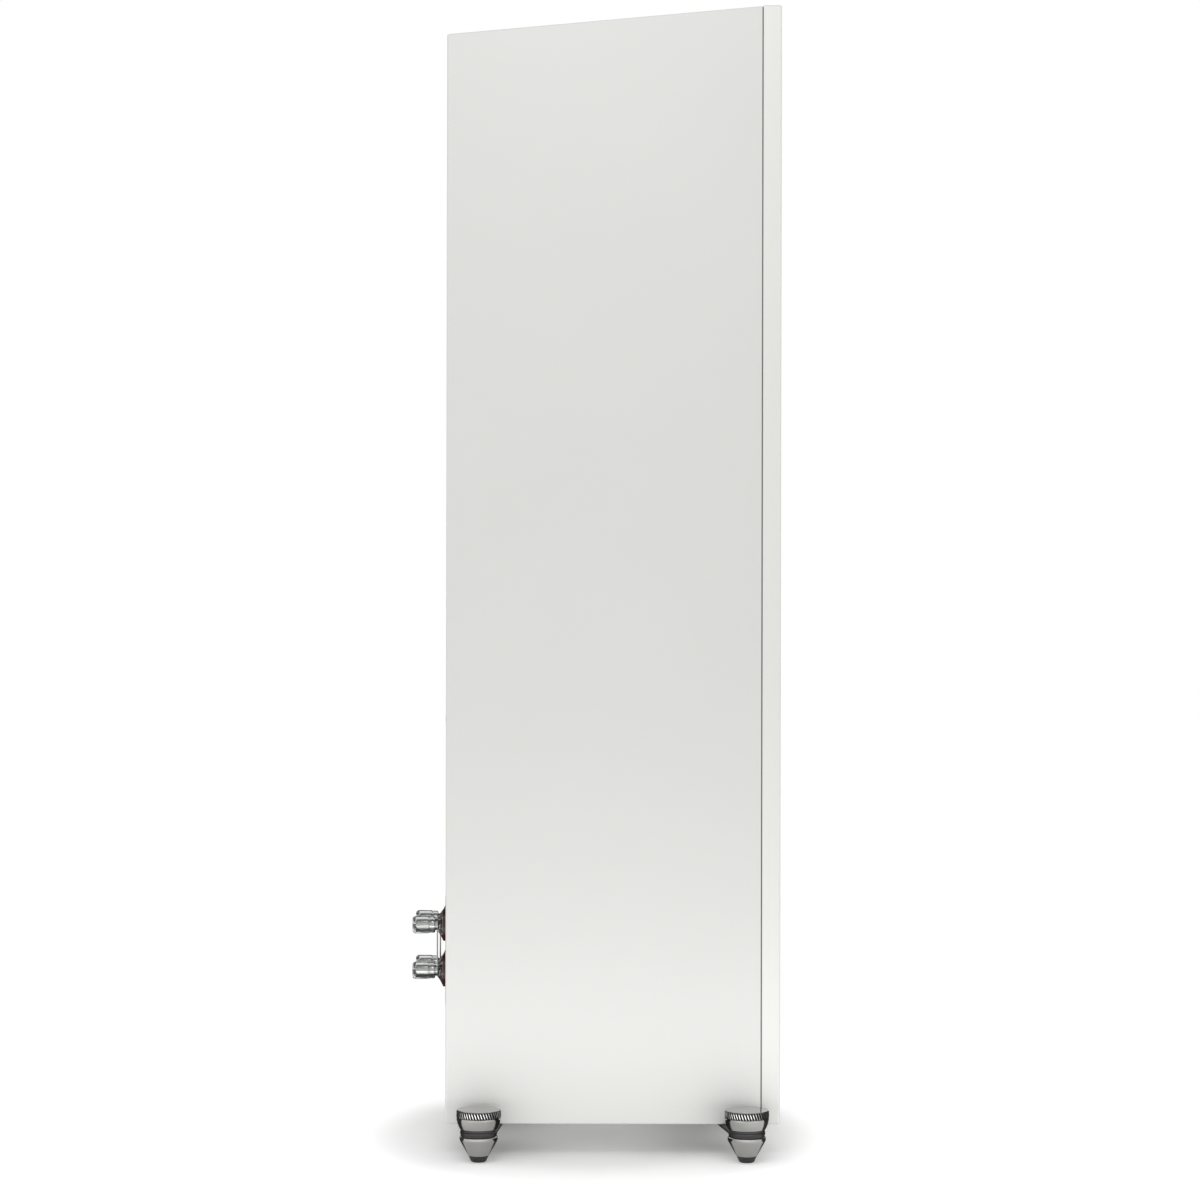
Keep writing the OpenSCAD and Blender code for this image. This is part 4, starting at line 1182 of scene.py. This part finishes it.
def stage_floor():
    """White sweep that glows away from the speaker and glows less near it: a painted shadow on top of the real contact
    shadow, so that only that patch is grey.
    """
    mesh = bpy.data.meshes.new("floor")
    s = 30.0
    mesh.from_pydata([(-s, -s, 0), (s, -s, 0), (s, s, 0), (-s, s, 0)], [], [(0, 1, 2, 3)])
    m = bpy.data.materials.new("studio_floor")
    m.use_nodes = True
    tree = m.node_tree
    shader = tree.nodes["Principled BSDF"]
    shader.inputs["Base Color"].default_value = (0.86, 0.86, 0.86, 1)
    shader.inputs["Roughness"].default_value = 0.9
    shader.inputs["Specular IOR Level"].default_value = 0.0
    shader.inputs["Emission Color"].default_value = (1, 1, 1, 1)
    place = tree.nodes.new("ShaderNodeTexCoord")
    distance = tree.nodes.new("ShaderNodeVectorMath")
    distance.operation = "LENGTH"
    oval = tree.nodes.new("ShaderNodeVectorMath")
    oval.operation = "MULTIPLY"
    oval.inputs[1].default_value = (1.0, 1.35, 1.0)
    tree.links.new(place.outputs["Object"], oval.inputs[0])
    tree.links.new(oval.outputs["Vector"], distance.inputs[0])
    # Painted shadow: the glow is weak under and beside the speaker and rises to full white further out
    painted_shadow_glow = [(0.05, 0.17), (0.15, 0.07), (0.24, 0.22), (0.35, 0.50), (0.7, 0.42)]
    ramp = ramp_node(tree, painted_shadow_glow, distance.outputs["Value"])
    tree.links.new(ramp.outputs["Color"], shader.inputs["Emission Strength"])

    # What the feet pick up from the floor behind them is dark, as with black flags
    split = tree.nodes.new("ShaderNodeSeparateXYZ")
    tree.links.new(place.outputs["Object"], split.inputs["Vector"])
    ahead = 0.1
    behind = math_node(tree, "ADD", split.outputs["X"], FOOT_X / 1000 + ahead)
    flag = ramp_node(tree, [(ahead + 0.004, 0.0), (ahead + 0.022, 0.95)], behind).outputs["Color"]
    rays = tree.nodes.new("ShaderNodeLightPath")
    black = tree.nodes.new("ShaderNodeBsdfDiffuse")
    black.inputs["Color"].default_value = (0.02, 0.02, 0.02, 1)
    mixed = tree.nodes.new("ShaderNodeMixShader")
    tree.links.new(math_node(tree, "MULTIPLY", flag, rays.outputs["Is Glossy Ray"]), mixed.inputs[0])
    tree.links.new(shader.outputs[0], mixed.inputs[1])
    tree.links.new(black.outputs[0], mixed.inputs[2])
    tree.links.new(mixed.outputs[0], tree.nodes["Material Output"].inputs["Surface"])
    mesh.materials.append(m)
    floor = bpy.data.objects.new("floor", mesh)
    bpy.context.scene.collection.objects.link(floor)


stage_floor()

AMBIENT = 0.66


def studio_world():
    """White behind the speaker; what metal and acrylic pick up is white with dark flags."""
    world = bpy.data.worlds.new("studio")
    world.use_nodes = True
    tree = world.node_tree
    links = tree.links
    background = tree.nodes["Background"]
    background.inputs["Color"].default_value = (1, 1, 1, 1)
    rays = tree.nodes.new("ShaderNodeLightPath")
    place = tree.nodes.new("ShaderNodeTexCoord")
    split = tree.nodes.new("ShaderNodeSeparateXYZ")
    links.new(place.outputs["Generated"], split.inputs["Vector"])

    def shares(output, stops):
        spread = tree.nodes.new("ShaderNodeMapRange")
        spread.inputs["From Min"].default_value = -1.0
        links.new(split.outputs[output], spread.inputs["Value"])
        return ramp_node(tree, stops, spread.outputs["Result"]).outputs["Color"]

    def choose(flag, other, value):
        node = tree.nodes.new("ShaderNodeMix")
        links.new(rays.outputs[flag], node.inputs["Factor"])
        for name, source in (("A", other), ("B", value)):
            if isinstance(source, float):
                node.inputs[name].default_value = source
            else:
                links.new(source, node.inputs[name])
        return node.outputs["Result"]

    mirrored = math_node(
        tree, "MULTIPLY", shares("X", [(0.0, 1.0), (0.42, 0.95), (0.60, 0.16), (1.0, 0.12)]),
        shares("Z", [(0.0, 0.8), (0.42, 0.8), (0.56, 1.0), (0.74, 1.05), (0.86, 0.5), (1.0, 0.35)]))
    seen_through = math_node(
        tree, "MULTIPLY", shares("X", [(0.0, 0.9), (0.3, 0.8), (0.46, 0.12), (0.62, 0.2), (0.78, 0.75), (1.0, 0.95)]),
        shares("Z", [(0.0, 0.5), (0.3, 0.75), (0.5, 1.0), (0.7, 0.85), (1.0, 0.6)]))
    level = choose("Is Diffuse Ray", 1.0, AMBIENT)
    level = choose("Is Glossy Ray", level, mirrored)
    level = choose("Is Transmission Ray", level, seen_through)
    links.new(level, background.inputs["Strength"])
    bpy.context.scene.world = world


studio_world()


def softbox(name, place, target, size, power):
    data = bpy.data.lights.new(name, "AREA")
    data.shape = "RECTANGLE"
    data.size, data.size_y = size
    data.energy = power
    light = bpy.data.objects.new(name, data)
    light.location = place
    light.rotation_mode = "QUATERNION"
    light.rotation_quaternion = (Vector(target) - Vector(place)).to_track_quat("-Z", "Y")
    light.visible_camera = False
    bpy.context.scene.collection.objects.link(light)
    return light


softbox("overhead", (-1.3, 0.0, 2.3), (-0.1, 0, 0.9), (1.2, 1.2), 3.5)
softbox("low", (-0.38, -0.02, 0.045), (-0.11, -0.02, 0.035), (1.0, 0.05), 0.43)
softbox("high", (-0.8, 0.0, 1.6), (-0.11, 0, 1.08), (0.9, 0.5), 1.3)

camera_data = bpy.data.cameras.new("camera")
camera_data.lens = 90.1
camera_data.sensor_width = 36.0
camera_data.clip_start = 0.05
camera_data.clip_end = 200.0
camera = bpy.data.objects.new("camera", camera_data)
camera.location = (-3.060, -0.0052, 0.5450)
camera.rotation_euler = (math.radians(90), math.radians(-0.11), math.radians(-90))
bpy.context.scene.collection.objects.link(camera)
bpy.context.scene.camera = camera

bpy.context.scene.view_settings.view_transform = "Standard"
bpy.context.scene.view_settings.look = "None"
